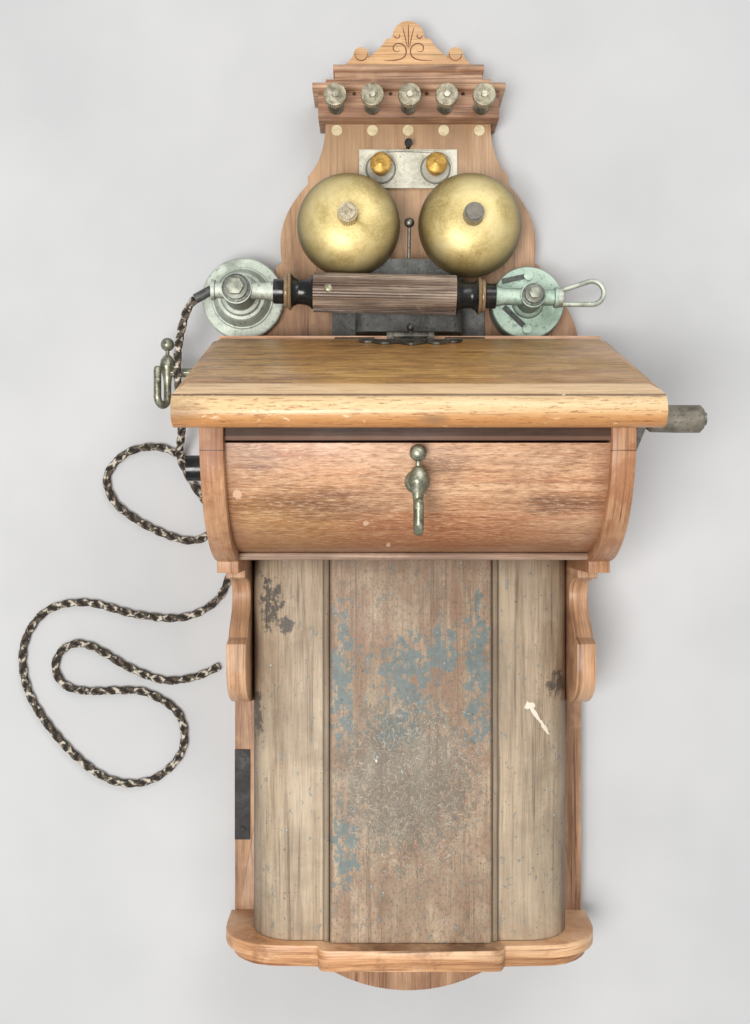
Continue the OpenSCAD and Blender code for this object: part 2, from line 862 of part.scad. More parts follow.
module lid_leaves() {
    color("darkgray")
        difference() {
            leaf(hinge_z + lid_gap, hinge_z + lid_gap + leaf_t, [0]);
            for (sx = [-1, 1]) {
                rod_x(sx * hinge_x - 2 * knuckle_len, sx * hinge_x + 2 * knuckle_len, hinge_y, hinge_z,
                    hinge_pin_r + run);
                for (k = [-1, 1])
                    rod_x(sx * hinge_x + k * knuckle_len - knuckle_len / 2,
                        sx * hinge_x + k * knuckle_len + knuckle_len / 2, hinge_y, hinge_z,
                        knuckle_r + clear);
            }
        }
}

// Section of the lid in [z, y]: flat back, groove, round nosing
function lid_profile() = let (
    r = lid_t / 2,
    s = lid_slope,
    nose = [for (p = arc([lid_len - r, -r], r, 72, -90, 12)) on_lid(p[0], p[1])]
) concat(
    [on_lid(lid_gap / cos(s), 0)],
    [on_lid(panel_end, 0), on_lid(panel_end + 0.6, -1.6), on_lid(panel_end + 1.1, -1.6)],
    nose,
    [on_lid((lid_gap + lid_t * sin(s)) / cos(s), -lid_t)]
);

module lid() {
    front_bevel = 12.8;
    side_bevel = 6;
    inset = 0.5;
    lip = 6;
    color("peru") {
        difference() {
            across(-lid_hw, lid_hw)
                polygon(lid_profile());
            for (sx = [-1, 1]) {
                block([sx * hinge_x - 1.5 * knuckle_len - clear, hinge_y - leaf_h - clear, hinge_z],
                    [sx * hinge_x + 1.5 * knuckle_len + clear, hinge_y + 1, hinge_z + lid_gap + leaf_t]);
                rod_x(sx * hinge_x - 1.5 * knuckle_len - clear, sx * hinge_x + 1.5 * knuckle_len + clear,
                    hinge_y, hinge_z, knuckle_r + clear);
            }
        }
        intersection() {
            across(-lid_hw, lid_hw)
                polygon([
                    on_lid(lip, -1), on_lid(lip, 0), on_lid(lip + panel_rise, panel_rise),
                    on_lid(panel_end - front_bevel, panel_rise),
                    on_lid(panel_end, 0), on_lid(panel_end, -1)
                ]);
            translate([0, hinge_y, hinge_z])
                rotate([lid_slope, 0, 0])
                    translate([0, -2, 0])
                        linear_extrude(lid_len)
                            polygon([
                                [inset - lid_hw, 0], [lid_hw - inset, 0], [lid_hw - inset, 2],
                                [lid_hw - inset - side_bevel, 2 + panel_rise],
                                [inset + side_bevel - lid_hw, 2 + panel_rise], [inset - lid_hw, 2]
                            ]);
        }
    }
}

module in_lid_frame() {
    translate([0, hinge_y, hinge_z])
        rotate([lid_slope, 0, 0])
            translate([0, panel_rise, 0])
                children();
}

module clip_base() {
    lug = 2.4;
    color("gray")
        in_lid_frame() {
            for (sx = [-1, 1]) {
                block([sx * 14 - 2, 0, clip_axis_u - lug], [sx * 14 + 2, clip_axis_w, clip_axis_u + lug]);
                rod_x(sx * 14 - 2, sx * 14 + 2, clip_axis_w, clip_axis_u, lug);
            }
            rod_x(-14, 14, clip_axis_w, clip_axis_u, clip_pin_r);
        }
}

module paper_clip() {
    hub = 2.2;
    reach = 20;
    color("gray")
        in_lid_frame()
            difference() {
                union() {
                    rod_x(-11.5, 11.5, clip_axis_w, clip_axis_u, hub);
                    translate([0, clear + 1.4, clip_axis_u + hub + 1])
                        rotate([90, 0, 0])
                            linear_extrude(1.4)
                                polygon(both(concat(
                                    [[clip_hw, 4]], arc([clip_hw - 6, 6], 5, 20, 120, 5),
                                    arc([clip_hw / 2, reach / 2], 7, 20, 160, 6), [[4, reach - 2]],
                                    arc([0, reach - 4], 4, 20, 90, 4)
                                )));
                    block([-11, clear, clip_axis_u], [11, clear + 1.4, clip_axis_u + 8]);
                    translate([0, clip_axis_w, clip_axis_u])
                        rotate([-90, 0, 0])
                            cylinder(h = 4.5, r = 1.2);
                    translate([0, clip_axis_w + 5.5, clip_axis_u])
                        sphere(r = 2.8);
                }
                rod_x(-20, 20, clip_axis_w, clip_axis_u, clip_pin_r + run);
                for (x = [9, 17, 25], sx = [-1, 1])
                    translate([sx * x, -1, clip_axis_u + hub + 8])
                        rotate([-90, 0, 0])
                            cylinder(h = 4, r = 2.2);
            }
}

module magneto_frame() {
    x0 = magnet_x0 - plate_gap - plate_t;
    x1 = magnet_x1 + plate_gap;
    base_t = 4;
    hw = pole_hw + 2;
    color("dimgray")
        difference() {
            union() {
                block([x0, floor_y, shaft_z - hw], [x1 + plate_t, floor_y + base_t, shaft_z + hw]);
                for (x = [x0, x1])
                    block([x, floor_y, shaft_z - pole_hw], [x + plate_t, shaft_y + 9, shaft_z + pole_hw]);
                block([magnet_x0, floor_y, shaft_z - pole_hw],
                    [magnet_x1, armature_y + 11, shaft_z + pole_hw]);
            }
            rod_x(magnet_x0 - 0.5, magnet_x1 + 0.5, armature_y, shaft_z, armature_r + pole_gap);
            rod_x(x0 - 1, x1 + plate_t + 1, armature_y, shaft_z, armature_shaft_r + run);
            rod_x(x0 - 1, x1 + plate_t + 1, shaft_y, shaft_z, shaft_r + run);
        }
}

module magneto_magnets() {
    foot = armature_y - 6;
    color("firebrick")
        for (i = [0 : magnet_count - 1], x = magnet_x0 + i * (magnet_w + magnet_gap))
            across(x, x + magnet_w)
                polygon(concat(
                    [[shaft_z + pole_hw, foot], [shaft_z + pole_hw + magnet_t, foot]],
                    arc([shaft_z, shaft_y], pole_hw + magnet_t, 0, 180, 16),
                    [[shaft_z - pole_hw - magnet_t, foot], [shaft_z - pole_hw, foot]],
                    arc([shaft_z, shaft_y], pole_hw, 180, 0, 16)
                ));
}

module magneto_armature() {
    web = 5;
    slot = 7;
    color("darkorange") {
        across(magnet_x0, magnet_x1)
            difference() {
                translate([shaft_z, armature_y])
                    circle(r = armature_r);
                for (s = [-1, 1])
                    translate([shaft_z + s * (web + 10) - 10, armature_y - slot])
                        square([20, 2 * slot]);
            }
        rod_x(magnet_x0 - plate_gap - plate_t - 1, gear_x + gear_w + 1, armature_y, shaft_z,
            armature_shaft_r);
    }
}

// A spur gear outline of straight-flanked teeth, with a tooth at the starting angle
function gear_outline(teeth, start) = let (m = gear_module, r = m * teeth / 2, step = 360 / teeth) [
    for (i = [0 : teeth - 1], k = [0 : 3])
        let (
            a = start + i * step + [-0.27, -0.11, 0.11, 0.27][k] * step,
            rr = k == 0 || k == 3 ? r - 1.15 * m : r + 0.9 * m
        )
        rr * [cos(a), sin(a)]
];

module pinion() {
    color("goldenrod")
        across(gear_x, gear_x + gear_w)
            difference() {
                translate([shaft_z, armature_y])
                    polygon(gear_outline(pinion_teeth, 90 + 180 / pinion_teeth));
                translate([shaft_z, armature_y])
                    circle(r = armature_shaft_r);
            }
}

module drive_gear() {
    web_r = gear_module * gear_teeth / 2;
    color("gold")
        across(gear_x, gear_x + gear_w)
            translate([shaft_z, shaft_y])
                difference() {
                    polygon(gear_outline(gear_teeth, -90));
                    circle(r = shaft_r);
                    for (a = [0 : 60 : 300])
                        rotate(a)
                            translate([web_r * 0.58, 0])
                                circle(r = web_r * 0.2);
                }
}

module crank_shaft() {
    color("silver") {
        rod_x(magnet_x0 - plate_gap - plate_t - 1, arm_x, shaft_y, shaft_z, shaft_r);
        rod_x(gear_x + gear_w, gear_x + gear_w + 5, shaft_y, shaft_z, shaft_r + 3);
    }
}

module shaft_bush() {
    color("black")
        difference() {
            union() {
                rod_x(in_hw, box_hw, shaft_y, shaft_z, bush_hub_r);
                rod_x(box_hw, box_hw + bush_flange_t, shaft_y, shaft_z, bush_hub_r + 5);
            }
            rod_x(in_hw - 1, box_hw + bush_flange_t + 1, shaft_y, shaft_z, shaft_r + run);
        }
}

module crank_arm() {
    arm_w = 9;
    spindle_end = handle_x + handle_len + clear;
    color("gray") {
        rod_x(arm_x, arm_x + arm_t, shaft_y, shaft_z, shaft_r + 4);
        translate([arm_x, shaft_y, shaft_z])
            rotate([-crank_angle, 0, 0])
                block([0, -arm_w / 2, 0], [arm_t, arm_w / 2, crank_len]);
        rod_x(arm_x, arm_x + arm_t, crank_tip[0], crank_tip[1], arm_w / 2);
        rod_x(arm_x + arm_t, spindle_end, crank_tip[0], crank_tip[1], spindle_r);
        rod_x(spindle_end, spindle_end + 1.5, crank_tip[0], crank_tip[1], spindle_r + 1.5);
    }
}

module crank_handle() {
    edge = 2;
    color("darkslategray")
        translate([handle_x, crank_tip[0], crank_tip[1]])
            rotate([0, 90, 0])
                rotate_extrude()
                    polygon([
                        [spindle_r + run, 0], [handle_r - edge, 0], [handle_r - 0.4, edge],
                        [handle_r, handle_len * 0.5], [handle_r, handle_len - edge],
                        [handle_r - edge, handle_len], [spindle_r + run, handle_len]
                    ]);
}

// A turned hook: ball finial, baluster and a U-bent tine towards -X that ends at a given height
module hook_form(tip) {
    drop = 22;
    ball_y = 15.5;
    translate([0, ball_y, 0])
        sphere(r = 4.8);
    rotate([-90, 0, 0])
        rotate_extrude()
            polygon([
                [0, -drop], [hook_r, -drop], [hook_r, -12], [3.3, -7.6], [5.5, -0.8], [5.5, 0.6], [4.6, 4.6],
                [3, 7], [1.4, 8.2], [1.4, 12], [0, 12]
            ]);
    translate([-throat_r, -drop, 0])
        rotate([0, 0, 180])
            rotate_extrude(angle = 180)
                translate([throat_r, 0])
                    circle(r = hook_r);
    rod([-2 * throat_r, -drop, 0], [-2 * throat_r, tip, 0], hook_r);
    translate([-2 * throat_r, tip, 0])
        sphere(r = hook_r);
}

module switch_hook() {
    hub_z = 8;
    tail_r = 1.6;
    hub_r = hook_pin_r + 2.5;
    color("lightslategray")
        difference() {
            union() {
                translate([-hook_x, hook_y + 4.5, hook_z])
                    rotate([0, 65, 0])
                        hook_form(-3.5);
                rod_x(-hook_x, 2 - hook_pivot_x, hook_y, hook_z, arm_r);
                translate([-hook_pivot_x, hook_pivot_y, hook_z - hub_z / 2])
                    cylinder(h = hub_z, r = hub_r);
                block([-hook_pivot_x - 4, hook_pivot_y, hook_z - 2.5],
                    [1.5 - hook_pivot_x, hook_y + 1, hook_z + 2.5]);
                rod_x(-hook_pivot_x, 18 - hook_pivot_x, hook_pivot_y, hook_z, tail_r);
            }
            translate([-hook_pivot_x, hook_pivot_y, hook_z - hub_z])
                cylinder(h = 2 * hub_z, r = hook_pin_r + run);
        }
}

module hook_bracket() {
    hub_z = 8;
    color("darkgray")
        translate([-hook_pivot_x, hook_pivot_y, 0]) {
            block([-11, -9, board_t], [11, 9, board_t + 3]);
            translate([0, 0, board_t])
                cylinder(h = hook_z - hub_z / 2 - clear - board_t, r = hook_pin_r + 2.5);
            translate([0, 0, board_t])
                cylinder(h = hook_z + hub_z - board_t, r = hook_pin_r);
        }
}

module contact_springs() {
    spring_t = 0.8;
    x0 = 24 - hook_pivot_x;
    tail_gap = 1.6 + clear;
    color("darkgoldenrod") {
        block([x0, hook_pivot_y - 8, board_t], [x0 + 14, hook_pivot_y + 9, hook_z - 4]);
        for (y = [hook_pivot_y - tail_gap - spring_t, hook_pivot_y + 5.5])
            block([x0 - 10, y, hook_z - 4], [x0 + 14, y + spring_t, hook_z + 3]);
    }
}

module induction_coil() {
    x0 = -75;
    x1 = 5;
    cheek = 5;
    cy = 25;
    half = 15;
    color("darkolivegreen") {
        for (x = [x0, x1])
            block([x, cy - half, board_t], [x + cheek, cy + half, board_t + 2 * half]);
        rod_x(x0 + cheek, x1, cy, board_t + half, half - 2);
    }
}

module cord_bush() {
    color("black")
        difference() {
            union() {
                rod_x(-box_hw, -in_hw, bush_y, bush_z, bush_r - 2.5);
                rod_x(-box_hw - bush_len, -box_hw, bush_y, bush_z, bush_r);
            }
            rod_x(-box_hw - bush_len - 1, -in_hw + 1, bush_y, bush_z, bush_bore);
        }
}

module front_hook() {
    rose_r = 7.2;
    color("lightslategray") {
        translate([0, front_hook_y, front_hook_z + front_hook_reach])
            rotate([0, 90, 0])
                hook_form(-12.4);
        translate([0, front_hook_y, front_hook_z - panel_t - 4])
            cylinder(h = front_hook_reach + panel_t + 4, r = arm_r);
        translate([0, front_hook_y, front_hook_z])
            rotate([front_hook_tilt, 0, 0])
                translate([0, 0, 0.05])
                    rotate_extrude()
                        polygon([[0, 0], [rose_r, 0], [rose_r, 1.2], [rose_r - 1.5, 2.6], [0, 4]]);
    }
}

// A scroll bracket in [z, y], from the box down the board
function bracket_profile() = let (y = bracket_y0, z = bracket_z, h = bracket_h) concat(
    [[board_t, y], [z, y], [z, y - 5]],
    bez([z - 2, y - 6], [z - 16, y - 6], [z - 32, y - 8], [z - 34, y - 18], 6),
    bez([z - 34, y - 18], [z - 35, y - 32], [z - 18, y - 36], [z - 13, y - 46], 6),
    [[z - 2, y - 49], [z - 2, y - h + 31]],
    bez([z - 2, y - h + 31], [z - 2, y - h + 13], [z - 24, y - h + 5], [z - 42, y - h + 4], 6),
    [[board_t, y - h]]
);

module bracket_left() {
    color("sienna")
        across(-bracket_hw, bracket_t - bracket_hw)
            polygon(bracket_profile());
}

module bracket_right() {
    color("sienna")
        across(bracket_hw - bracket_t, bracket_hw)
            polygon(bracket_profile());
}

function cover_outer() = let (cz = cover_z - column_step) concat(
    [[cover_hw, board_t + clear]],
    arc([cover_hw - column_r, cz - column_r], column_r, 0, 90, 10),
    [[middle_hw + 5, cz]],
    arc([middle_hw + 2.5, cz], 2.2, 0, 180, 6),
    [[middle_hw, cover_z - 1.5], [middle_hw - 1.5, cover_z]]
);
function cover_inner() = let (cz = cover_z - column_step - cover_t, r = column_r - cover_t) concat(
    [[cover_hw - cover_t, board_t]],
    arc([cover_hw - column_r, cz - r], r, 0, 90, 10)
);

module battery_cover() {
    color("tan")
        difference() {
            upward(shelf_y + clear, cover_top)
                polygon(both(cover_outer()));
            upward(shelf_y - 1, cover_top + 1)
                polygon(both(cover_inner()));
        }
}

function shelf_half(inset) = let (z = cover_z + 13 - inset) concat(
    [[shelf_hw - inset, board_t]],
    bez([shelf_hw - inset, 46], [shelf_hw - inset, 74 - inset], [shelf_hw - 16 - inset, z - 10],
        [cover_hw - 20.5, z - 10], 8),
    [[middle_hw + 10, z - 9]],
    bez([middle_hw + 8, z - 8], [middle_hw + 7, z - 2], [middle_hw + 6, z], [middle_hw, z], 4)
);

module shelf() {
    lip = shelf_t * 0.55;
    color("peru") {
        upward(shelf_y - lip, shelf_y)
            polygon(both(shelf_half(0)));
        upward(shelf_base, shelf_y - lip)
            polygon(both(shelf_half(5)));
    }
}

module dry_cells() {
    x = 36;
    knob_h = 7;
    color("darkslategray")
        for (sx = [-1, 1])
            translate([sx * x, shelf_y, board_t + cell_r])
                rotate([-90, 0, 0])
                    rotate_extrude()
                        polygon([
                            [0, 0], [cell_r, 0], [cell_r, cell_h], [cell_r - 2, cell_h],
                            [cell_r - 2, cell_h - 3], [9, cell_h - 3], [9, cell_h + 2], [3, cell_h + 2],
                            [3, cell_h + knob_h], [0, cell_h + knob_h]
                        ]);
}

module latch_plate() {
    color("dimgray")
        block([-board_hw, plate_y, board_t], [plate_w - board_hw, plate_y + plate_len, board_t + latch_t]);
}

module wood_screws() {
    pin_y = label_y - 12;
    color("darkgray") {
        for (y = [plate_y + 7, plate_y + plate_len - 7])
            translate([plate_w / 2 - board_hw, y, board_t + latch_t])
                cylinder(h = 1, r = screw_r);
        translate([0, pin_y, board_t]) {
            cylinder(h = 9, r = 1.6);
            translate([0, 0, 9])
                cylinder(h = 2.5, r = screw_r + 0.4);
        }
    }
}

// The handset's own frame: x along the grip, z up from the bench
module in_handset_frame() {
    translate([handset_x, handset_y, handset_z])
        rotate([0, 0, handset_tilt])
            children();
}

module handset_grip() {
    color("saddlebrown")
        in_handset_frame()
            translate([-grip_len / 2, 0, 0])
                rotate([0, 90, 0])
                    linear_extrude(grip_len)
                        polygon([
                            for (i = [0 : grip_ribs - 1], k = [0 : 2])
                                let (
                                    a = 360 * (i + [0, 0.55, 0.78][k]) / grip_ribs,
                                    r = grip_r - (k == 2 ? rib_depth : 0)
                                )
                                r * [cos(a), sin(a)]
                        ]);
}

module ferrule(sx) {
    r = grip_r;
    waist = 8.6;
    flange_r = 12.9;
    rotate([0, 90 * sx, 0])
        translate([0, 0, grip_len / 2])
            rotate_extrude()
                polygon(concat(
                    [[0, 0], [r - 1.6, 0]],
                    bez([r - 2, 1.2], [r - 4.6, 3.5], [waist, 6], [waist, 11], 6),
                    [[waist + 1.4, 13.6], [flange_r - 0.6, 15.4], [flange_r, 16.2], [flange_r - 0.6, 17]],
                    [[flange_r - 1.6, 17.8], [flange_r - 1.4, 18.8], [flange_r - 1.8, 19.8], [waist, 20.8]],
                    [[waist - 0.1, ferrule_len], [0, ferrule_len]]
                ));
}

module handset_ferrules() {
    color("black")
        in_handset_frame()
            for (sx = [-1, 1])
                ferrule(sx);
}

// The cast arm that joins a cup to its ferrule, with a stub on the far side
module cup_arm() {
    inner = cup_pitch / 2 - grip_len / 2 - ferrule_len;
    stub = arm_end - cup_pitch / 2;
    rotate([0, -90, 0])
        rotate_extrude()
            polygon([[0, 0], [5.8, 0], [5.8, inner - 6], [7.2, inner], [0, inner]]);
    rotate([0, 90, 0])
        rotate_extrude()
            polygon([[0, 0], [5.6, 0], [5.6, stub - 3], [7, stub - 2.4], [7, stub], [0, stub]]);
}

module transmitter_case() {
    p = cup_plate;
    r = mouth_r;
    hub = mouth_hub_r;
    color("darkseagreen")
        in_handset_frame()
            translate([-cup_pitch / 2, 0, 0]) {
                rotate_extrude()
                    polygon([
                        [0, p - 4], [13, p - 5], [r - 10, cup_rim + 5], [r - 3, cup_rim + 3],
                        [r - 3, cup_rim], [r, cup_rim], [r, cup_rim + 5], [r - 1, cup_rim + 6],
                        [r - 7, cup_rim + 7], [r - 7.6, cup_rim + 8], [r - 8.4, cup_rim + 8],
                        [r - 11, p - 2], [r - 12.6, p + 0.6], [hub + 4, p + 1], [hub + 3, p + 3.5],
                        [hub + 0.6, p + 4.5], [hub, p + 7], [hub, hub_top], [0, hub_top]
                    ]);
                mirror([1, 0, 0])
                    cup_arm();
            }
}

// A flat strip between two points of a cup's back plate
module plate_bar(a, b, w, t) {
    v = b - a;
    translate([a[0], a[1], cup_plate - 0.5])
        rotate(atan2(v[1], v[0]))
            block([0, -w / 2, 0], [norm(v), w / 2, t + 0.5]);
}

module receiver_case() {
    p = cup_plate;
    r = ear_r;
    hub = ear_hub_r;
    screw_y = 18.9;
    bar_w = 3.2;
    bar_t = 1.4;
    color("mediumaquamarine")
        in_handset_frame()
            translate([cup_pitch / 2, 0, 0]) {
                rotate_extrude()
                    polygon([
                        [0, p - 3], [r - 6, p - 3], [r - 3, cup_rim + 4], [r - 3, cup_rim], [r, cup_rim],
                        [r, cup_rim + 6], [r - 0.5, p - 1], [r - 1.2, p], [hub + 3, p], [hub + 2, p + 3],
                        [hub, p + 5], [hub, hub_top], [0, hub_top]
                    ]);
                for (sy = [-1, 1])
                    translate([0, sy * screw_y, p - 0.5])
                        cylinder(h = 3, r = 3.4);
                plate_bar([-18.5, 14.6], [0, screw_y], bar_w, bar_t);
                plate_bar([-17, -3.5], [0, -screw_y], bar_w, bar_t);
                cup_arm();
            }
}

// A flat cap screwed into a cup's rim, with a round opening
module cup_cap(cup_r, opening) {
    r = cup_r - 0.8;
    translate([0, 0, cup_rim - cap_t])
        rotate_extrude()
            polygon([
                [opening, 0.6], [opening + 1.5, 0], [r - 1.5, 0], [r, 1.2], [r, cap_t], [opening, cap_t]
            ]);
}

module mouthpiece() {
    color("black")
        in_handset_frame()
            translate([-cup_pitch / 2, 0, 0])
                cup_cap(mouth_r, 11);
}

module earpiece() {
    color("black")
        in_handset_frame()
            translate([cup_pitch / 2, 0, 0])
                cup_cap(ear_r, 6);
}

module handset_nuts() {
    washer_t = 2;
    ring_t = 3;
    hex_t = 4.5;
    color("lightgray")
        in_handset_frame()
            for (sx = [-1, 1]) {
                r = sx < 0 ? mouth_hub_r : ear_hub_r;
                translate([sx * cup_pitch / 2, 0, hub_top]) {
                    cylinder(h = washer_t, r = r - 0.7);
                    cylinder(h = washer_t + ring_t, r = r - 2.4);
                    cylinder(h = washer_t + ring_t + hex_t, r = r - 4.6, $fn = 6);
                }
            }
}

module hanging_loop() {
    base_y = 4.6;
    reach = 22.4;
    tilt = 10;
    collar_r = 6.6;
    far = acos(-loop_r / norm([reach, base_y])) - atan2(base_y, reach);
    color("darkseagreen")
        in_handset_frame() {
            translate([arm_end, 0, 0])
                rotate([0, 90, 0])
                    cylinder(h = 3, r = collar_r);
            translate([arm_end + 1.6, 0, 0])
                rotate([0, 0, tilt]) {
                    translate([reach, 0, 0])
                        rotate([0, 0, -far])
                            rotate_extrude(angle = 2 * far)
                                translate([loop_r, 0])
                                    circle(r = loop_wire_r);
                    for (sy = [-1, 1]) {
                        rod([0, sy * base_y, 0],
                            [reach + loop_r * cos(far), sy * loop_r * sin(far), 0], loop_wire_r);
                        translate([reach + loop_r * cos(far), sy * loop_r * sin(far), 0])
                            sphere(r = loop_wire_r);
                    }
                }
        }
}

module cord_ferrule() {
    start = [handset_x - arm_end, handset_y - arm_end * sin(handset_tilt), handset_z];
    color("dimgray")
        rod(start, cord_route[0], cord_d / 2 + 0.4);
}

// The cord's centre line: a smooth curve through the route, with a point midway along each stretch
function route_at(i) = cord_route[max(0, min(len(cord_route) - 1, i))];
function midway(i) = (9 * (route_at(i) + route_at(i + 1)) - route_at(i - 1) - route_at(i + 2)) / 16;
cord_line = [
    for (i = [0 : 2 * len(cord_route) - 2])
        i % 2 == 0 ? route_at(i / 2) : midway((i - 1) / 2)
];

module cord() {
    last = len(cord_line) - 1;
    n = cord_sides;
    rings = [
        for (i = [0 : last])
            let (
                t = cord_line[min(last, i + 1)] - cord_line[max(0, i - 1)],
                d = t / norm(t),
                side = [d[1], -d[0], 0] / norm([d[0], d[1]]),
                up = cross(side, d)
            )
            [
                for (k = [0 : n - 1], a = 360 * k / n)
                    cord_line[i] + cord_d / 2 * (side * cos(a) + up * sin(a))
            ]
    ];
    color("dimgray")
        polyhedron(
            points = [for (ring = rings, p = ring) p],
            faces = concat(
                [[for (k = [0 : n - 1]) k]],
                [
                    for (i = [0 : last - 1], k = [0 : n - 1], half = [0, 1])
                        let (a = i * n + k, b = i * n + (k + 1) % n)
                        half == 0 ? [a, a + n, b + n] : [a, b + n, b]
                ],
                [[for (k = [n - 1 : -1 : 0]) last * n + k]]
            )
        );
}

backboard();
crest();
cornice();
terminal_block();
terminal_posts();
terminal_nuts();
label_discs();
arrester_plate();
arrester_plugs();
gong_left();
gong_right();
gong_posts();
gong_screws();
ringer_frame();
ringer_coils();
ringer_cover();
clapper();
side_left();
side_right();
front_panel();
top_rail();
bottom_board();
hinge_rail();
hinge_leaves();
lid();
lid_leaves();
clip_base();
paper_clip();
magneto_frame();
magneto_magnets();
magneto_armature();
pinion();
drive_gear();
crank_shaft();
shaft_bush();
crank_arm();
crank_handle();
switch_hook();
hook_bracket();
contact_springs();
induction_coil();
cord_bush();
front_hook();
bracket_left();
bracket_right();
battery_cover();
shelf();
dry_cells();
latch_plate();
wood_screws();
handset_grip();
handset_ferrules();
transmitter_case();
receiver_case();
mouthpiece();
earpiece();
handset_nuts();
hanging_loop();
cord_ferrule();
cord();
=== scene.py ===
import math

import bpy
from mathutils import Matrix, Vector


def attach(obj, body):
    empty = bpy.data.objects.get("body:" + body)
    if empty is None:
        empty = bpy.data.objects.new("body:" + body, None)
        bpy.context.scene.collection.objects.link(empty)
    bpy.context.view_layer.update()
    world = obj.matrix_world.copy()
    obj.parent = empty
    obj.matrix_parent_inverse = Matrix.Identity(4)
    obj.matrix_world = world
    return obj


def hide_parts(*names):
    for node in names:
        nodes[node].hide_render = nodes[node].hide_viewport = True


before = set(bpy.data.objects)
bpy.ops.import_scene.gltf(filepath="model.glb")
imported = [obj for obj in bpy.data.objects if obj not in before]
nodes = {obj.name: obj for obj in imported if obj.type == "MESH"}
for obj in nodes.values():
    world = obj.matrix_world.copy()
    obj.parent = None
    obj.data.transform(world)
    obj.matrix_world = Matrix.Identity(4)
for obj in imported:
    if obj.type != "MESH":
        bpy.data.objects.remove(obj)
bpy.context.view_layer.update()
scene = bpy.context.scene
scene.view_settings.view_transform = "Standard"
MM = 0.001

# Camera: straight over the telephone as it lies on its back, a little left of its middle line
CAMERA_PLACE = (-24 * MM, 0, 850 * MM)
SENSOR_HEIGHT = 36
LENS = 40.25
NEAR_LIMIT = 10 * MM
cam_data = bpy.data.cameras.new("camera")
cam_data.sensor_fit = "VERTICAL"
cam_data.sensor_height = SENSOR_HEIGHT
cam_data.lens = LENS
cam_data.clip_start = NEAR_LIMIT
camera = bpy.data.objects.new("camera", cam_data)
camera.location = CAMERA_PLACE
scene.collection.objects.link(camera)
scene.camera = camera


def add_mesh(name, verts, faces, body, smooth=True):
    """A new piece from vertices and faces in metres, riding on a body."""
    mesh = bpy.data.meshes.new(name)
    mesh.from_pydata([tuple(v) for v in verts], [], [tuple(f) for f in faces])
    mesh.validate()
    for poly in mesh.polygons:
        poly.use_smooth = smooth
    obj = bpy.data.objects.new(name, mesh)
    scene.collection.objects.link(obj)
    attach(obj, body)
    return obj


# The plaited cord, along the same route as the solid, in millimetres
CORD_D = 6.0
CORD_STEP = 1.0
CORD_SIDES = 16
POINTS_PER_SPAN = 12
PLAIT_PITCH = 11.0
PLAIT_STRANDS = 4
PLAIT_DEPTH = 0.13
ROUTE = [
    (-148, 147, 59.9), (-154.5, 138.5, 57.5), (-161, 118, 50), (-163, 98, 45), (-160.5, 76, 46),
    (-162, 58, 33), (-166.5, 42, 15), (-163, 30, 7.5), (-158.4, 20.8, 4), (-152.9, 12.3, 3.2),
    (-147.2, 4.6, 3.2), (-143.6, -4.2, 3.2), (-145.3, -13.4, 3.2), (-152.3, -19.8, 3.2),
    (-161.8, -21.2, 3.2), (-171.3, -19.4, 3.2), (-184, -14.5, 3.2), (-201, -5.5, 3.2), (-217, 8, 3.2),
    (-222, 27, 3.2), (-207, 44, 3.2), (-182, 47.5, 3.2), (-160, 35, 3.2), (-140, 12, 3.2),
    (-130, -12, 3.2), (-130, -40, 3.2), (-141, -65, 3.2), (-166, -78, 3.2), (-200, -76, 3.2),
    (-238, -67, 3.2), (-268, -74, 3.2), (-284, -100, 3.2), (-279, -136, 3.2), (-252, -174, 3.2),
    (-220, -198, 3.2), (-189, -198, 3.2), (-167, -177, 3.2), (-169, -150, 3.2), (-192, -134, 3.2),
    (-213, -132, 3.2), (-229, -132.6, 3.2), (-242, -132, 3.2), (-252.4, -128.6, 3.2),
    (-259.2, -120.4, 3.2), (-259.9, -110, 3.2), (-254.2, -101.1, 3.2), (-244.5, -97.3, 3.2),
    (-234, -99.3, 3.2), (-223, -105, 3.2), (-204, -116, 3.2), (-180, -124.5, 3.2), (-157, -122, 3.2),
    (-139, -114, 3.2),
]


def smooth_line(points, per_span):
    """Points along a smooth curve through the given ones."""
    pts = [Vector(p) for p in points]
    out = []
    for i in range(len(pts) - 1):
        a, b = pts[max(0, i - 1)], pts[i]
        c, d = pts[i + 1], pts[min(len(pts) - 1, i + 2)]
        for k in range(per_span):
            t = k / per_span
            out.append(0.5 * (2 * b + (c - a) * t + (2 * a - 5 * b + 4 * c - d) * t ** 2
                              + (3 * b - a - 3 * c + d) * t ** 3))
    out.append(pts[-1])
    return out


def line_length(points):
    return sum((b - a).length for a, b in zip(points, points[1:]))


def even_line(points, step):
    """The same line with points at an even spacing."""
    total = line_length(points)
    count = max(2, round(total / step))
    out, i, run = [], 0, 0.0
    for k in range(count + 1):
        want = total * k / count
        while i < len(points) - 2 and run + (points[i + 1] - points[i]).length < want:
            run += (points[i + 1] - points[i]).length
            i += 1
        span = (points[i + 1] - points[i]).length
        out.append(points[i].lerp(points[i + 1], min(1.0, (want - run) / span)))
    return out


def direction(line, i):
    """The way a line runs at one of its points."""
    return (line[min(len(line) - 1, i + 1)] - line[max(0, i - 1)]).normalized()


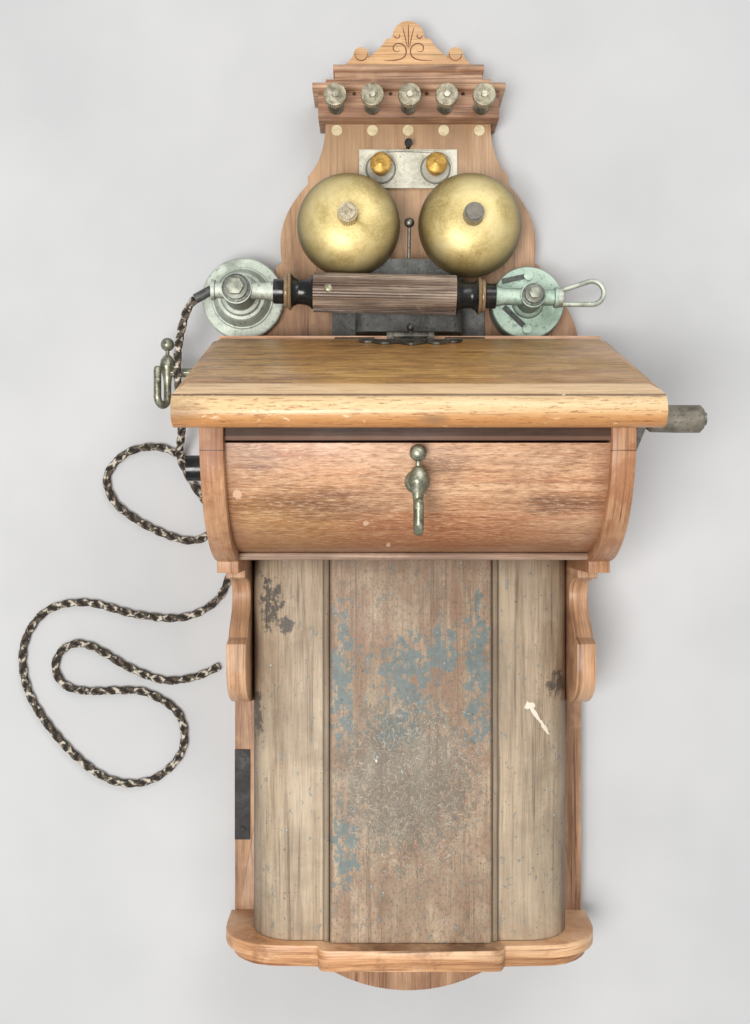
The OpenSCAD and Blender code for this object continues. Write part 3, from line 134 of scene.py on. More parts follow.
def tube(name, line, radius_at, sides, body):
    """A closed tube round a line, with a UV of (distance along, turn) on each corner."""
    verts, faces, along_line, dist = [], [], [], 0.0
    up = Vector((0, 0, 1))
    for i, p in enumerate(line):
        d = direction(line, i)
        side = d.cross(up).normalized()
        top = side.cross(d)
        if i:
            dist += (p - line[i - 1]).length
        along_line.append(dist)
        for k in range(sides):
            a = 2 * math.pi * k / sides
            r = radius_at(dist, k / sides)
            verts.append((p + r * (side * math.cos(a) + top * math.sin(a))) * MM)
    n = len(line)
    for i in range(n - 1):
        for k in range(sides):
            j = (k + 1) % sides
            faces.append((i * sides + k, i * sides + j, (i + 1) * sides + j, (i + 1) * sides + k))
    faces.append(tuple(range(sides - 1, -1, -1)))
    faces.append(tuple((n - 1) * sides + k for k in range(sides)))
    obj = add_mesh(name, verts, faces, body)
    uv_layer = obj.data.uv_layers.new(name="plait")
    for poly in obj.data.polygons:
        wraps = len(poly.vertices) == 4 and any(v % sides == sides - 1 for v in poly.vertices)
        for li in poly.loop_indices:
            v = obj.data.loops[li].vertex_index
            turn = (v % sides) / sides
            if wraps and v % sides == 0:
                turn = 1.0
            uv_layer.data[li].uv = (along_line[v // sides] * MM, turn)
    return obj


def plait_radius(dist, turn):
    """Two sets of strands that wind opposite ways and pass over each other."""
    a = math.cos(2 * math.pi * (PLAIT_STRANDS / 2 * turn + dist / PLAIT_PITCH))
    b = math.cos(2 * math.pi * (PLAIT_STRANDS / 2 * turn - dist / PLAIT_PITCH))
    return CORD_D / 2 * (1 - PLAIT_DEPTH + PLAIT_DEPTH * max(a, b))


cord_line = even_line(smooth_line(ROUTE, POINTS_PER_SPAN), CORD_STEP)
cord = tube("cord_plait", cord_line, plait_radius, CORD_SIDES, "handset")
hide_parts("cord")


# Materials
def lin(rgb):
    """A display colour of 0 to 255 as the shader's linear colour."""
    out = []
    for c in rgb:
        c /= 255
        out.append(c / 12.92 if c <= 0.04045 else ((c + 0.055) / 1.055) ** 2.4)
    return (*out, 1.0)


def darker(rgb, share):
    return tuple(c * share for c in rgb)


class Look:
    """A material under construction, with short ways to add its nodes."""

    def __init__(self, name, roughness=0.5, metallic=0.0):
        self.mat = bpy.data.materials.new(name)
        self.mat.use_nodes = True
        self.tree = self.mat.node_tree
        self.bsdf = next(n for n in self.tree.nodes if n.type == "BSDF_PRINCIPLED")
        self.bsdf.inputs["Roughness"].default_value = roughness
        self.bsdf.inputs["Metallic"].default_value = metallic
        self.coords = self.node("TexCoord").outputs["Object"]

    def node(self, kind):
        return self.tree.nodes.new("ShaderNode" + kind)

    def link(self, a, b):
        self.tree.links.new(a, b)

    def put(self, socket, value):
        """A plain value or another node's output, on a socket."""
        if hasattr(value, "is_linked"):
            self.link(value, socket)
        else:
            socket.default_value = value

    def noise(self, scale, detail=4, rough=0.55, warp=0.0, shift=(0, 0, 0)):
        """Cloudy noise at so many cells to the metre, the same on all axes or one for each."""
        place = self.node("Mapping")
        place.inputs["Scale"].default_value = scale if isinstance(scale, tuple) else (scale, scale, scale)
        place.inputs["Location"].default_value = shift
        self.link(self.coords, place.inputs["Vector"])
        n = self.node("TexNoise")
        n.inputs["Scale"].default_value = 1.0
        n.inputs["Detail"].default_value = detail
        n.inputs["Roughness"].default_value = rough
        n.inputs["Distortion"].default_value = warp
        self.link(place.outputs["Vector"], n.inputs["Vector"])
        return n.outputs["Fac"]

    def math(self, op, a, b=0.0):
        n = self.node("Math")
        n.operation = op
        self.put(n.inputs[0], a)
        self.put(n.inputs[1], b)
        return n.outputs[0]

    def plus(self, a, b):
        return self.math("ADD", a, b)

    def minus(self, a, b):
        return self.math("SUBTRACT", a, b)

    def times(self, product, *others):
        for value in others:
            product = self.math("MULTIPLY", product, value)
        return product

    def ramp(self, fac, stops):
        """Colours that follow one another at the given positions."""
        n = self.node("ValToRGB")
        elements = n.color_ramp.elements
        while len(elements) < len(stops):
            elements.new(0.5)
        for element, (position, rgb) in zip(elements, stops):
            element.position = position
            element.color = lin(rgb)
        self.put(n.inputs["Fac"], fac)
        return n.outputs["Color"]

    def span(self, fac, lo, hi, out_lo=0.0, out_hi=1.0):
        """A value mapped from one range to another and held at its ends."""
        n = self.node("MapRange")
        self.put(n.inputs["Value"], fac)
        n.inputs["From Min"].default_value = lo
        n.inputs["From Max"].default_value = hi
        n.inputs["To Min"].default_value = out_lo
        n.inputs["To Max"].default_value = out_hi
        return n.outputs["Result"]

    def band(self, value, lo, hi, soft):
        """1 between two limits and 0 outside them, with soft edges."""
        return self.times(self.span(value, lo, lo + soft), self.span(value, hi, hi - soft))

    def mix(self, fac, a, b):
        n = self.node("Mix")
        n.data_type = "RGBA"
        self.put(n.inputs["Factor"], fac)
        for socket, v in ((n.inputs[6], a), (n.inputs[7], b)):
            self.put(socket, lin(v) if isinstance(v, tuple) else v)
        return n.outputs[2]

    def paint(self, base, colour, mask, strength=None):
        """The base with a colour laid over it where the mask is."""
        return self.mix(self.times(mask, strength) if strength else mask, base, colour)

    def axis(self, letter):
        """A coordinate of the shared frame, in metres."""
        n = self.node("SeparateXYZ")
        self.link(self.coords, n.inputs[0])
        return n.outputs["XYZ".index(letter)]

    def upward(self):
        """How far a surface faces up, from 0 at its sides to 1 on top."""
        n = self.node("SeparateXYZ")
        self.link(self.node("NewGeometry").outputs["Normal"], n.inputs[0])
        return n.outputs[2]

    def colour(self, value):
        self.put(self.bsdf.inputs["Base Color"], value)

    def roughness(self, value):
        self.put(self.bsdf.inputs["Roughness"], value)

    def bump(self, height, strength, distance):
        n = self.node("Bump")
        n.inputs["Strength"].default_value = strength
        n.inputs["Distance"].default_value = distance
        self.link(height, n.inputs["Height"])
        self.link(n.outputs["Normal"], self.bsdf.inputs["Normal"])


def along(grain, near, across):
    """Texture scales that stretch a pattern along the grain's one or two axes."""
    return tuple(near if c in grain else across for c in "XYZ")


def wood(name, dark, mid, light, grain, shift=0.0, gloss=0.42, stain_and_shading=None, lines=0.55):
    """Varnished wood: figure, dark grain lines, fibres and worn blotches along the grain."""
    look = Look(name, gloss)
    off = (shift, shift * 1.7, shift * 0.6)
    figure = look.noise(along(grain, 4, 55), 6, 0.6, 1.2, off)
    line = look.noise(along(grain, 9, 420), 5, 0.6, 0.6, off)
    fibre = look.noise(along(grain, 40, 1100), 4, 0.65, 0.1, off)
    blotch = look.noise(17, 4, 0.6, 0.5, off)
    wear = look.noise(42, 5, 0.7, 0.3, (shift + 5, shift, shift))
    tone = look.plus(look.times(figure, 0.7), look.times(fibre, 0.4))
    base = look.ramp(tone, [(0.36, dark), (0.52, mid), (0.68, light)])
    base = look.paint(base, darker(mid, 0.74), look.span(blotch, 0.42, 0.68), 0.6)
    base = look.paint(base, light, look.span(wear, 0.56, 0.74), 0.5)
    cut = look.span(line, 0.56, 0.68, 0.0, lines)
    base = look.paint(base, darker(dark, 0.62), cut)
    if stain_and_shading:
        base = stain_and_shading(look, base)
    look.colour(base)
    look.roughness(look.span(blotch, 0.3, 0.7, gloss - 0.08, gloss + 0.18))
    look.bump(look.minus(fibre, look.times(cut, 0.8)), 0.25, 0.3 * MM)
    return look.mat


def metal(name, dark, mid, light, roughness, patch=60, fine=900, spots=None, metallic=1.0, bump=0.12,
          shade=None, shade_from=0.05, shade_to=0.85, stain_and_shading=None):
    """Worn metal or paint: cloudy tarnish, fine scratches, optional spots and optional painted shade on the
    sides.
    """
    look = Look(name, roughness, metallic)
    cloud = look.noise(patch, 6, 0.65, 0.4)
    grit = look.noise(fine, 3, 0.6)
    tone = look.plus(look.times(cloud, 0.8), look.times(grit, 0.25))
    base = look.ramp(tone, [(0.36, dark), (0.53, mid), (0.72, light)])
    if spots:
        base = look.paint(base, spots, look.span(look.noise(patch * 4, 5, 0.7), 0.56, 0.66))
    if shade:
        # Painted shade: surfaces that turn away from facing up take on the shade colour.
        base = look.paint(base, shade, look.span(look.upward(), shade_from, shade_to, 0.88, 0.0))
    if stain_and_shading:
        base = stain_and_shading(look, base)
    look.colour(base)
    look.roughness(look.span(cloud, 0.3, 0.7, max(0.05, roughness - 0.1), roughness + 0.18))
    look.bump(grit, bump, 0.2 * MM)
    return look.mat


def zone(look, x, y, rx, ry, turn=0.0):
    """A soft oval on a face that looks up: 1 at its middle, 0 from its rim on, in millimetres."""
    dx = look.minus(look.axis("X"), x * MM)
    dy = look.minus(look.axis("Y"), y * MM)
    c, s = math.cos(math.radians(turn)), math.sin(math.radians(turn))
    u = look.plus(look.times(dx, c / (rx * MM)), look.times(dy, s / (rx * MM)))
    v = look.minus(look.times(dy, c / (ry * MM)), look.times(dx, s / (ry * MM)))
    return look.span(look.plus(look.times(u, u), look.times(v, v)), 1.0, 0.0)


def zones(look, ovals):
    """Several ovals as one."""
    total = zone(look, *ovals[0])
    for oval in ovals[1:]:
        total = look.math("MAXIMUM", total, zone(look, *oval))
    return total


def flakes(look, grain, ovals, gain, start, soft=0.03):
    """Ragged flakes of a noise that crowd together inside the given ovals."""
    crowded = look.plus(grain, look.times(zones(look, ovals), gain))
    return look.span(crowded, start, start + soft)


def smooth_group(angle):
    """Shade smooth, with edges sharper than the angle kept crisp."""
    group = bpy.data.node_groups.new("smooth_by_angle", "GeometryNodeTree")
    group.interface.new_socket("Geometry", in_out="INPUT", socket_type="NodeSocketGeometry")
    group.interface.new_socket("Geometry", in_out="OUTPUT", socket_type="NodeSocketGeometry")
    n = group.nodes
    start, end = n.new("NodeGroupInput"), n.new("NodeGroupOutput")
    faces, edges = n.new("GeometryNodeSetShadeSmooth"), n.new("GeometryNodeSetShadeSmooth")
    faces.domain, edges.domain = "FACE", "EDGE"
    edges.inputs["Shade Smooth"].default_value = False
    turn = n.new("GeometryNodeInputMeshEdgeAngle")
    test = n.new("FunctionNodeCompare")
    test.operation = "GREATER_THAN"
    test.inputs[1].default_value = angle
    group.links.new(start.outputs[0], faces.inputs["Geometry"])
    group.links.new(faces.outputs[0], edges.inputs["Geometry"])
    group.links.new(turn.outputs["Unsigned Angle"], test.inputs[0])
    group.links.new(test.outputs[0], edges.inputs["Selection"])
    group.links.new(edges.outputs[0], end.inputs[0])
    return group


def set_look(mat, *names):
    """One material on all slots of the named nodes."""
    for name in names:
        slots = nodes[name].material_slots
        for s in slots:
            s.material = mat
        if not slots:
            nodes[name].data.materials.append(mat)


# Softened edges and smooth curves
SMOOTH = smooth_group(math.radians(33))
WELD_GAP = 0.002 * MM
BEVEL_ANGLE = math.radians(35)
BEVELS = {
    "backboard": 1.0, "crest": 0.8, "cornice": 0.5, "terminal_block": 0.6, "side_left": 1.2,
    "side_right": 1.2, "top_rail": 0.5, "bottom_board": 0.6, "hinge_rail": 0.7, "lid": 0.6,
    "bracket_left": 1.0, "bracket_right": 1.0, "battery_cover": 0.8, "shelf": 1.0, "arrester_plate": 0.3,
    "transmitter_case": 0.3, "receiver_case": 0.3, "terminal_nuts": 0.25, "handset_nuts": 0.3,
}
for name, obj in nodes.items():
    weld = obj.modifiers.new("weld", "WELD")
    weld.merge_threshold = WELD_GAP
    if name in BEVELS:
        bevel = obj.modifiers.new("edge", "BEVEL")
        bevel.width = BEVELS[name] * MM
        bevel.segments = 2
        bevel.limit_method = "ANGLE"
        bevel.angle_limit = BEVEL_ANGLE
        bevel.use_clamp_overlap = True
    shading = obj.modifiers.new("smooth", "NODES")
    shading.node_group = SMOOTH

# Floor, light and world, in metres
FLOOR_HALF = 3.0
FLOOR_Z = -0.4 * MM
WORLD_STRENGTH = 0.33
floor_corners = [(x * FLOOR_HALF, y * FLOOR_HALF, FLOOR_Z) for x, y in ((-1, -1), (1, -1), (1, 1), (-1, 1))]
floor_mesh = bpy.data.meshes.new("floor")
floor_mesh.from_pydata(floor_corners, [], [(0, 1, 2, 3)])
floor = bpy.data.objects.new("floor", floor_mesh)
scene.collection.objects.link(floor)
ground = Look("floor_paper", 0.9)
ground.colour(ground.ramp(ground.noise(7, 3), [(0.3, (200, 202, 204)), (0.7, (212, 213, 215))]))
floor_mesh.materials.append(ground.mat)

world = bpy.data.worlds.new("studio")
scene.world = world
world.use_nodes = True
sky = world.node_tree.nodes["Background"]
sky.inputs["Color"].default_value = (1.0, 0.99, 0.97, 1)
sky.inputs["Strength"].default_value = WORLD_STRENGTH


def area_light(name, place, target, size, power, colour):
    """A rectangular lamp that faces a target."""
    data = bpy.data.lights.new(name, "AREA")
    data.shape = "RECTANGLE"
    data.size, data.size_y = size
    data.energy = power
    data.color = colour
    obj = bpy.data.objects.new(name, data)
    obj.location = place
    obj.rotation_euler = (Vector(target) - Vector(place)).to_track_quat("-Z", "Y").to_euler()
    scene.collection.objects.link(obj)


area_light("key", place=(-0.35, -0.25, 1.5), target=(0, 0, 0.05), size=(0.6, 0.6), power=19,
           colour=(1.0, 0.98, 0.95))
area_light("fill", place=(0.5, 0.9, 1.2), target=(0, 0.1, 0.05), size=(1.0, 0.6), power=7,
           colour=(1.0, 0.99, 0.98))

# The lid's hinge and slope, and how far down the slope its mouldings start, in metres
LID_SLOPE = math.radians(18)
LID_HINGE_Y = 118 * MM
LID_HINGE_Z = 60 * MM
LID_BEVEL = 159.2 * MM
LID_QUIRK = 172.2 * MM
LID_NOSING = 174.4 * MM
LID_EDGE = 0.6 * MM

# The handset's place and tilt, and the arrester plugs' places, in millimetres
HANDSET_X, HANDSET_Y, HANDSET_Z = -17.3, 150.6, 59.9
HANDSET_TILT = math.radians(-1.3)
PLUG_X, PLUG_Y = 19.8, 248.2


# Wood
def board_stain(look, base):
    """Paler towards the top, with brown streaks there."""
    high = look.span(look.axis("Y"), 120 * MM, 240 * MM)
    base = look.paint(base, (204, 172, 134), high, 0.45)
    streak = look.span(look.noise((120, 3, 1), 4, 0.6), 0.55, 0.7)
    return look.paint(base, (158, 104, 58), look.times(streak, high), 0.5)


def lid_edge(look, base, run):
    """The lid's pale worn bevel, the dark quirk below it as painted shade, and the golden nosing with a
    painted highlight on its upper half and painted shade on its lower half.
    """
    worn = look.span(look.noise((26, 420, 420), 6, 0.72, 0.5), 0.34, 0.54, 0.4, 1.0)
    bevel = look.span(run, LID_BEVEL, LID_BEVEL + 1 * MM)
    base = look.paint(base, (250, 214, 168), look.times(bevel, worn))
    # Painted shade in the quirk.
    quirk = look.band(run, LID_QUIRK, LID_NOSING + LID_EDGE, LID_EDGE)
    base = look.paint(base, (74, 46, 26), quirk, 0.85)
    nosing = look.span(run, LID_NOSING, LID_NOSING + LID_EDGE)
    base = look.paint(base, (212, 164, 112), look.times(nosing, worn))
    # Painted highlight on the nosing's upper half, broken by wear.
    upper = look.span(look.axis("Y"), 52 * MM, 58 * MM)
    base = look.paint(base, (248, 226, 180), look.times(nosing, upper, worn), 0.6)
    # Painted shade on the nosing's lower half.
    lower = look.span(look.axis("Y"), 54.5 * MM, 49 * MM)
    base = look.paint(base, (196, 124, 58), look.times(nosing, lower), 0.6)
    tick = look.span(look.noise((110, 800, 800), 5, 0.76, 0.2, (4, 7, 0)), 0.54, 0.62)
    base = look.paint(base, (138, 86, 44), look.times(nosing, tick), 0.7)
    knocks = zones(look, [(8, 50.5, 10, 3.4), (-134, 55, 22, 8)])
    base = look.paint(base, (136, 108, 84), look.times(nosing, knocks), 0.6)
    chips = look.span(look.noise((120, 300, 300), 5, 0.75, 0.2, (9, 0, 0)), 0.62, 0.67)
    return look.paint(base, (250, 226, 190), look.times(chips, bevel), 0.8)


def lid_stain_and_shading(look, base):
    """Olive and dark mottles, darker to the left, with flecks, streaks, painted shade towards the back and
    the worn front edge with its painted highlight and shade.
    """
    out = look.times(look.minus(look.axis("Z"), LID_HINGE_Z), math.cos(LID_SLOPE))
    down = look.times(look.minus(LID_HINGE_Y, look.axis("Y")), math.sin(LID_SLOPE))
    run = look.plus(out, down)
    olive = look.span(look.noise((14, 50, 50), 5, 0.7, 0.6, (6, 2, 0)), 0.48, 0.62)
    base = look.paint(base, (204, 164, 76), olive, 0.5)
    mottle = look.span(look.noise((26, 100, 100), 7, 0.76, 1.0), 0.49, 0.57)
    leftward = look.span(look.axis("X"), 90 * MM, -70 * MM, 0.32, 0.66)
    base = look.paint(base, (116, 72, 36), look.times(mottle, leftward))
    fleck = look.span(look.noise((70, 420, 420), 6, 0.74), 0.55, 0.64)
    base = look.paint(base, (240, 192, 128), fleck, 0.7)
    # Painted shade: darker towards the hinge at the back.
    rear = look.span(run, 30 * MM, 6 * MM)
    base = look.paint(base, (130, 92, 52), rear, 0.4)
    streak = look.noise((22, 900, 900), 5, 0.7, 0.4, (3, 1, 0))
    base = look.paint(base, (92, 58, 30), look.span(streak, 0.52, 0.64), 0.6)
    base = lid_edge(look, base, run)
    return look.paint(base, (112, 72, 38), look.span(streak, 0.56, 0.66), 0.45)


def rail_light_and_shade(look, base):
    """Painted light on the lower part, which the lid's nosing leaves unshaded, over a dark slot."""
    # Painted light: the lower part of the rail is made paler.
    low = look.span(look.axis("Y"), 43.2 * MM, 42.4 * MM)
    base = look.paint(base, (140, 104, 84), low, 0.5)
    slot = look.span(look.axis("Y"), 40.8 * MM, 40.4 * MM)
    return look.paint(base, (70, 44, 34), slot)


def front_stain_and_shade(look, base):
    """Red and pale figure, golden and red patches, smoky marks, fine ticks, painted shade at both ends, a
    darker bottom and three paint drops.
    """
    red = look.span(look.noise((9, 130, 130), 6, 0.68, 0.5), 0.46, 0.66)
    base = look.paint(base, (182, 108, 70), red, 0.4)
    pale = look.span(look.noise((8, 210, 210), 6, 0.7, 0.4, (3, 0, 0)), 0.50, 0.68)
    base = look.paint(base, (232, 196, 160), pale, 0.35)
    base = look.paint(base, (186, 138, 76), zone(look, -76, -8, 56, 24), 0.6)
    base = look.paint(base, (190, 108, 58), zone(look, 16, -14, 84, 18), 0.5)
    smoke = [(-60, 5, 58, 13), (-90, 32, 18, 12), (16, 25, 20, 14), (84, 4, 28, 11)]
    dark = flakes(look, look.noise((30, 260, 260), 6, 0.72, 0.3), smoke, 0.26, 0.52, 0.30)
    base = look.paint(base, (112, 80, 66), dark, 0.7)
    tick = look.noise((170, 1100, 1100), 4, 0.7, 0.2, (1, 6, 0))
    base = look.paint(base, (110, 66, 42), look.span(tick, 0.54, 0.64), 0.6)
    base = look.paint(base, (242, 206, 172), look.span(tick, 0.47, 0.37), 0.5)
    # Painted shade at both ends, where the panel meets the sides.
    ends = look.span(look.math("ABSOLUTE", look.axis("X")), 98 * MM, 109 * MM)
    base = look.paint(base, (124, 78, 50), ends, 0.6)
    # Darker and browner towards the bottom.
    low = look.span(look.axis("Y"), -2 * MM, -22 * MM)
    base = look.paint(base, (122, 68, 26), low, 0.55)
    drops = [(-103, 10, 3.2, 3.2), (-29.5, -6.6, 1.9, 1.9), (-16, -20, 1.7, 1.7)]
    return look.paint(base, (222, 186, 158), flakes(look, look.noise(900, 4, 0.7), drops, 0.5, 0.66), 0.85)


def cover_panel(look, base, panel, grain):
    """The middle panel: brown wood, specks, blue-grey flakes, a grey haze and a net of pale scratches."""
    brown = look.span(look.noise((80, 30, 60), 6, 0.7, 0.4, (2, 4, 0)), 0.42, 0.62, 0.2, 0.75)
    base = look.paint(base, (146, 112, 90), look.times(brown, panel))
    speck = look.span(look.noise((700, 420, 500), 4, 0.7, 0.2, (1, 8, 0)), 0.54, 0.62)
    base = look.paint(base, (100, 82, 70), look.times(speck, panel), 0.5)
    spots = [(-46, -112, 11, 66), (-4, -112, 30, 42), (45, -112, 12, 72), (-12, -142, 22, 24),
             (20, -92, 16, 20), (-44, -225, 12, 40)]
    blue = look.mix(look.noise(260, 4, 0.6), (78, 98, 102), (132, 148, 148))
    base = look.paint(base, blue, flakes(look, grain, spots, 0.17, 0.60), 0.85)
    smear = look.noise((170, 140, 150), 7, 0.76, 0.4, (5, 2, 0))
    haze = flakes(look, smear, [(-4, -176, 56, 62)], 0.24, 0.52, 0.14)
    base = look.paint(base, (104, 106, 98), look.times(haze, panel), 0.6)
    curls = look.noise((150, 130, 140), 3, 0.62, 1.4, (2, 9, 0))
    scratch = look.span(look.math("ABSOLUTE", look.minus(curls, 0.5)), 0.016, 0.004)
    reach = look.span(zone(look, 2, -186, 58, 72), 0.0, 0.5)
    return look.paint(base, (206, 194, 176), look.times(scratch, reach, panel), 0.6)


def cover_stain_and_shade(look, base):
    """The middle panel's wear, then pits, dark seams, scuffs, a pale gouge, painted shade where the surface
    turns away to the sides, and a darker top.
    """
    off = look.math("ABSOLUTE", look.axis("X"))
    grain = look.noise((190, 130, 160), 7, 0.74, 0.25)
    base = cover_panel(look, base, look.span(off, 54.0 * MM, 53.2 * MM), grain)
    pits = look.span(look.noise(420, 3, 0.6, 0.0, (7, 1, 0)), 0.66, 0.70)
    base = look.paint(base, (84, 70, 60), pits, 0.7)
    seam = look.band(off, 53.5 * MM, 59.8 * MM, 0.6 * MM)
    base = look.paint(base, (88, 74, 62), seam, 0.5)
    scuffs = [(-94, -62, 12, 26), (-105, -138, 8, 26), (99, -116, 11, 15), (-84, -76, 9, 9)]
    base = look.paint(base, (66, 66, 66), flakes(look, grain, scuffs, 0.27, 0.65, 0.06), 0.8)
    gouge = [(86, -139, 20, 1.8, -56), (80, -130, 5, 3)]
    base = look.paint(base, (240, 230, 212), flakes(look, grain, gouge, 0.38, 0.66), 0.9)
    # Painted shade where the surface turns away to the sides.
    base = look.paint(base, (84, 64, 46), look.span(look.upward(), 0.80, 0.25), 0.6)
    # Darker along the top.
    top = look.span(look.axis("Y"), -44 * MM, -32 * MM)
    return look.paint(base, (92, 72, 56), top, 0.5)


def side_stain(look, base):
    """Redder patches, and a joint line under the top block."""
    patches = look.span(look.noise((50, 36, 36), 6, 0.72, 0.4), 0.50, 0.60)
    base = look.paint(base, (150, 92, 58), patches, 0.5)
    joint = look.band(look.axis("Y"), 34.1 * MM, 35.0 * MM, 0.3 * MM)
    return look.paint(base, (70, 44, 30), joint, 0.8)


def shelf_stain(look, base):
    """Darker patches."""
    patches = look.span(look.noise(40, 5, 0.7), 0.55, 0.68)
    return look.paint(base, (118, 70, 42), patches, 0.5)


set_look(wood("walnut_upright", (110, 72, 50), (176, 134, 104), (214, 174, 138), "Y", 0.3,
              stain_and_shading=board_stain, lines=0.7), "backboard")
set_look(wood("bracket_walnut", (128, 88, 62), (200, 156, 120), (232, 190, 152), "YZ", 0.8),
         "bracket_left", "bracket_right")
set_look(wood("walnut_level", (94, 62, 44), (160, 118, 90), (206, 164, 130), "X", 1.3, lines=0.75),
         "terminal_block")
set_look(wood("cornice_walnut", (108, 72, 52), (184, 142, 112), (228, 188, 154), "X", 1.7, lines=0.7),
         "cornice")
set_look(wood("foot_walnut", (112, 82, 64), (170, 140, 120), (206, 178, 156), "X", 1.9), "bottom_board")
set_look(wood("crest_walnut", (156, 104, 62), (212, 164, 116), (240, 200, 152), "X", 2.1, lines=0.6),
         "crest")
set_look(wood("side_walnut", (112, 70, 42), (180, 132, 96), (212, 166, 126), "YZ", 3.3,
              stain_and_shading=side_stain, lines=0.7), "side_left", "side_right")
set_look(wood("front_walnut", (150, 98, 64), (200, 150, 112), (228, 186, 148), "X", 4.7, 0.34,
              front_stain_and_shade, 0.3), "front_panel")
# The top rail's wood colours are dark as painted shade under the lid's nosing.
set_look(wood("rail_walnut_shaded", (40, 24, 17), (60, 39, 29), (84, 58, 44), "X", 5.9, 0.6, rail_light_and_shade),
         "top_rail")
set_look(wood("lid_walnut", (120, 74, 34), (206, 150, 84), (240, 190, 122), "X", 6.4, 0.32,
              lid_stain_and_shading, 0.6), "lid")
set_look(wood("hinge_walnut", (150, 104, 76), (212, 164, 130), (240, 200, 168), "X", 7.7, lines=0.5),
         "hinge_rail")
set_look(wood("cover_walnut", (126, 106, 86), (178, 158, 134), (206, 188, 162), "Y", 8.8, 0.55,
              cover_stain_and_shade), "battery_cover")
set_look(wood("shelf_walnut", (130, 78, 46), (218, 164, 118), (252, 212, 170), "XZ", 9.2,
              stain_and_shading=shelf_stain, lines=0.8), "shelf")
set_look(wood("grip_brown", (50, 36, 28), (122, 101, 85), (190, 171, 152), "X", 10.5, 0.32, lines=0.8),
         "handset_grip")


# Metal
def nut_stain(look, base):
    """Dark washers and rings under bright hexagons."""
    low = look.span(look.axis("Z"), 73.4 * MM, 72.6 * MM)
    tarnish = look.mix(look.span(look.noise(500, 4, 0.7), 0.4, 0.6), (78, 82, 78), (120, 124, 116))
    return look.paint(base, tarnish, low)


def post_stain(look, base):
    """Tarnished feet under the bright pins."""
    feet = look.span(look.axis("Z"), 56 * MM, 53 * MM)
    return look.paint(base, (74, 66, 52), feet, 0.85)


def plate_seats_and_shade(look, base):
    """A dark ring of painted shade in the groove round each arrester plug, with a grey seat inside it."""
    for x in (-PLUG_X, PLUG_X):
        # Painted shade in the ring groove round the plug.
        ring = look.span(zone(look, x, PLUG_Y, 11.4, 11.4), 0.0, 0.04)
        base = look.paint(base, (84, 84, 74), ring, 0.75)
        seat = look.span(zone(look, x, PLUG_Y, 9.8, 9.8), 0.0, 0.04)
        grey = look.mix(look.noise(400, 4, 0.7), (150, 150, 138), (222, 220, 206))
        base = look.paint(base, grey, seat)
    return base


def knob_stain(look, base):
    """The right gong's screw has lost its brass."""
    right = look.span(look.axis("X"), -1 * MM, 1 * MM)
    return look.paint(base, (112, 110, 108), right, 0.8)


def ferrule_stain(look, base):
    """Brown-brass rings on the ferrules' flanges."""
    out = look.math("ABSOLUTE", look.minus(look.axis("X"), HANDSET_X * MM))
    brown = look.mix(look.noise(700, 4, 0.7), (96, 74, 52), (196, 164, 120))
    base = look.paint(base, brown, look.band(out, 64.0 * MM, 69.2 * MM, 0.4 * MM), 0.85)
    gap = look.band(out, 66.2 * MM, 66.9 * MM, 0.2 * MM)
    return look.paint(base, (30, 26, 22), gap, 0.8)


nickel = metal("nickel", (96, 90, 74), (162, 156, 136), (222, 216, 198), 0.36, 170,
               spots=(176, 160, 104), metallic=0.5)
dark_sleeve = metal("dark_sleeve", (58, 60, 58), (86, 88, 86), (116, 118, 114), 0.5, 160, metallic=0.4)
set_look(nickel, "terminal_nuts")
set_look(dark_sleeve, "cord_ferrule")
set_look(metal("gong_brass", (186, 164, 104), (232, 212, 148), (248, 234, 182), 0.42, 34, 700, metallic=0.35,
               bump=0.05, shade=(84, 68, 42), shade_from=0.30, shade_to=0.985), "gong_left", "gong_right")
set_look(metal("bright_brass", (164, 122, 54), (204, 162, 80), (232, 196, 122), 0.42, 160,
               spots=(150, 112, 58), metallic=0.5),
         "arrester_plugs", "drive_gear", "pinion", "contact_springs")
set_look(metal("knob_brass", (150, 138, 112), (196, 184, 156), (226, 216, 192), 0.36, 200,
               spots=(110, 98, 76), metallic=0.5, stain_and_shading=knob_stain), "gong_screws")
set_look(metal("pin_nickel", (150, 144, 126), (204, 198, 180), (236, 232, 218), 0.28, 200, metallic=0.6,
               stain_and_shading=post_stain), "terminal_posts")
set_look(metal("steel", (92, 90, 84), (140, 138, 130), (178, 176, 168), 0.42, 90),
         "gong_posts", "ringer_frame", "clapper", "hinge_leaves", "lid_leaves", "magneto_frame",
         "crank_shaft", "crank_arm", "hook_bracket", "magneto_armature")
set_look(metal("clip_steel", (46, 44, 40), (84, 81, 74), (140, 137, 128), 0.4, 160, metallic=0.6),
         "clip_base", "paper_clip")
set_look(metal("black_iron", (20, 18, 18), (34, 31, 31), (58, 53, 52), 0.5, 120, metallic=0.3),
         "latch_plate", "wood_screws")
set_look(metal("zinc", (176, 174, 156), (226, 224, 206), (246, 244, 230), 0.5, 70, spots=(178, 176, 160),
               metallic=0.15, stain_and_shading=plate_seats_and_shade), "arrester_plate")
set_look(metal("pale_cup", (160, 169, 158), (208, 217, 204), (230, 238, 226), 0.5, 70,
               spots=(150, 166, 150), metallic=0.25, shade=(92, 100, 90)), "transmitter_case")
set_look(metal("mint_cup", (146, 170, 154), (188, 212, 196), (214, 232, 218), 0.5, 60,
               spots=(132, 164, 146), metallic=0.2, shade=(88, 98, 90)), "receiver_case")
set_look(metal("loop_wire", (150, 158, 144), (198, 206, 192), (228, 232, 220), 0.42, 120, metallic=0.4,
               shade=(110, 116, 104)), "hanging_loop")
set_look(metal("cup_nuts", (116, 120, 108), (158, 162, 148), (200, 202, 188), 0.4, 220, metallic=0.4,
               stain_and_shading=nut_stain), "handset_nuts")
set_look(metal("hook_nickel", (92, 92, 74), (156, 158, 138), (214, 216, 198), 0.34, 150,
               spots=(70, 66, 50), metallic=0.6, shade=(72, 70, 54)), "switch_hook", "front_hook")

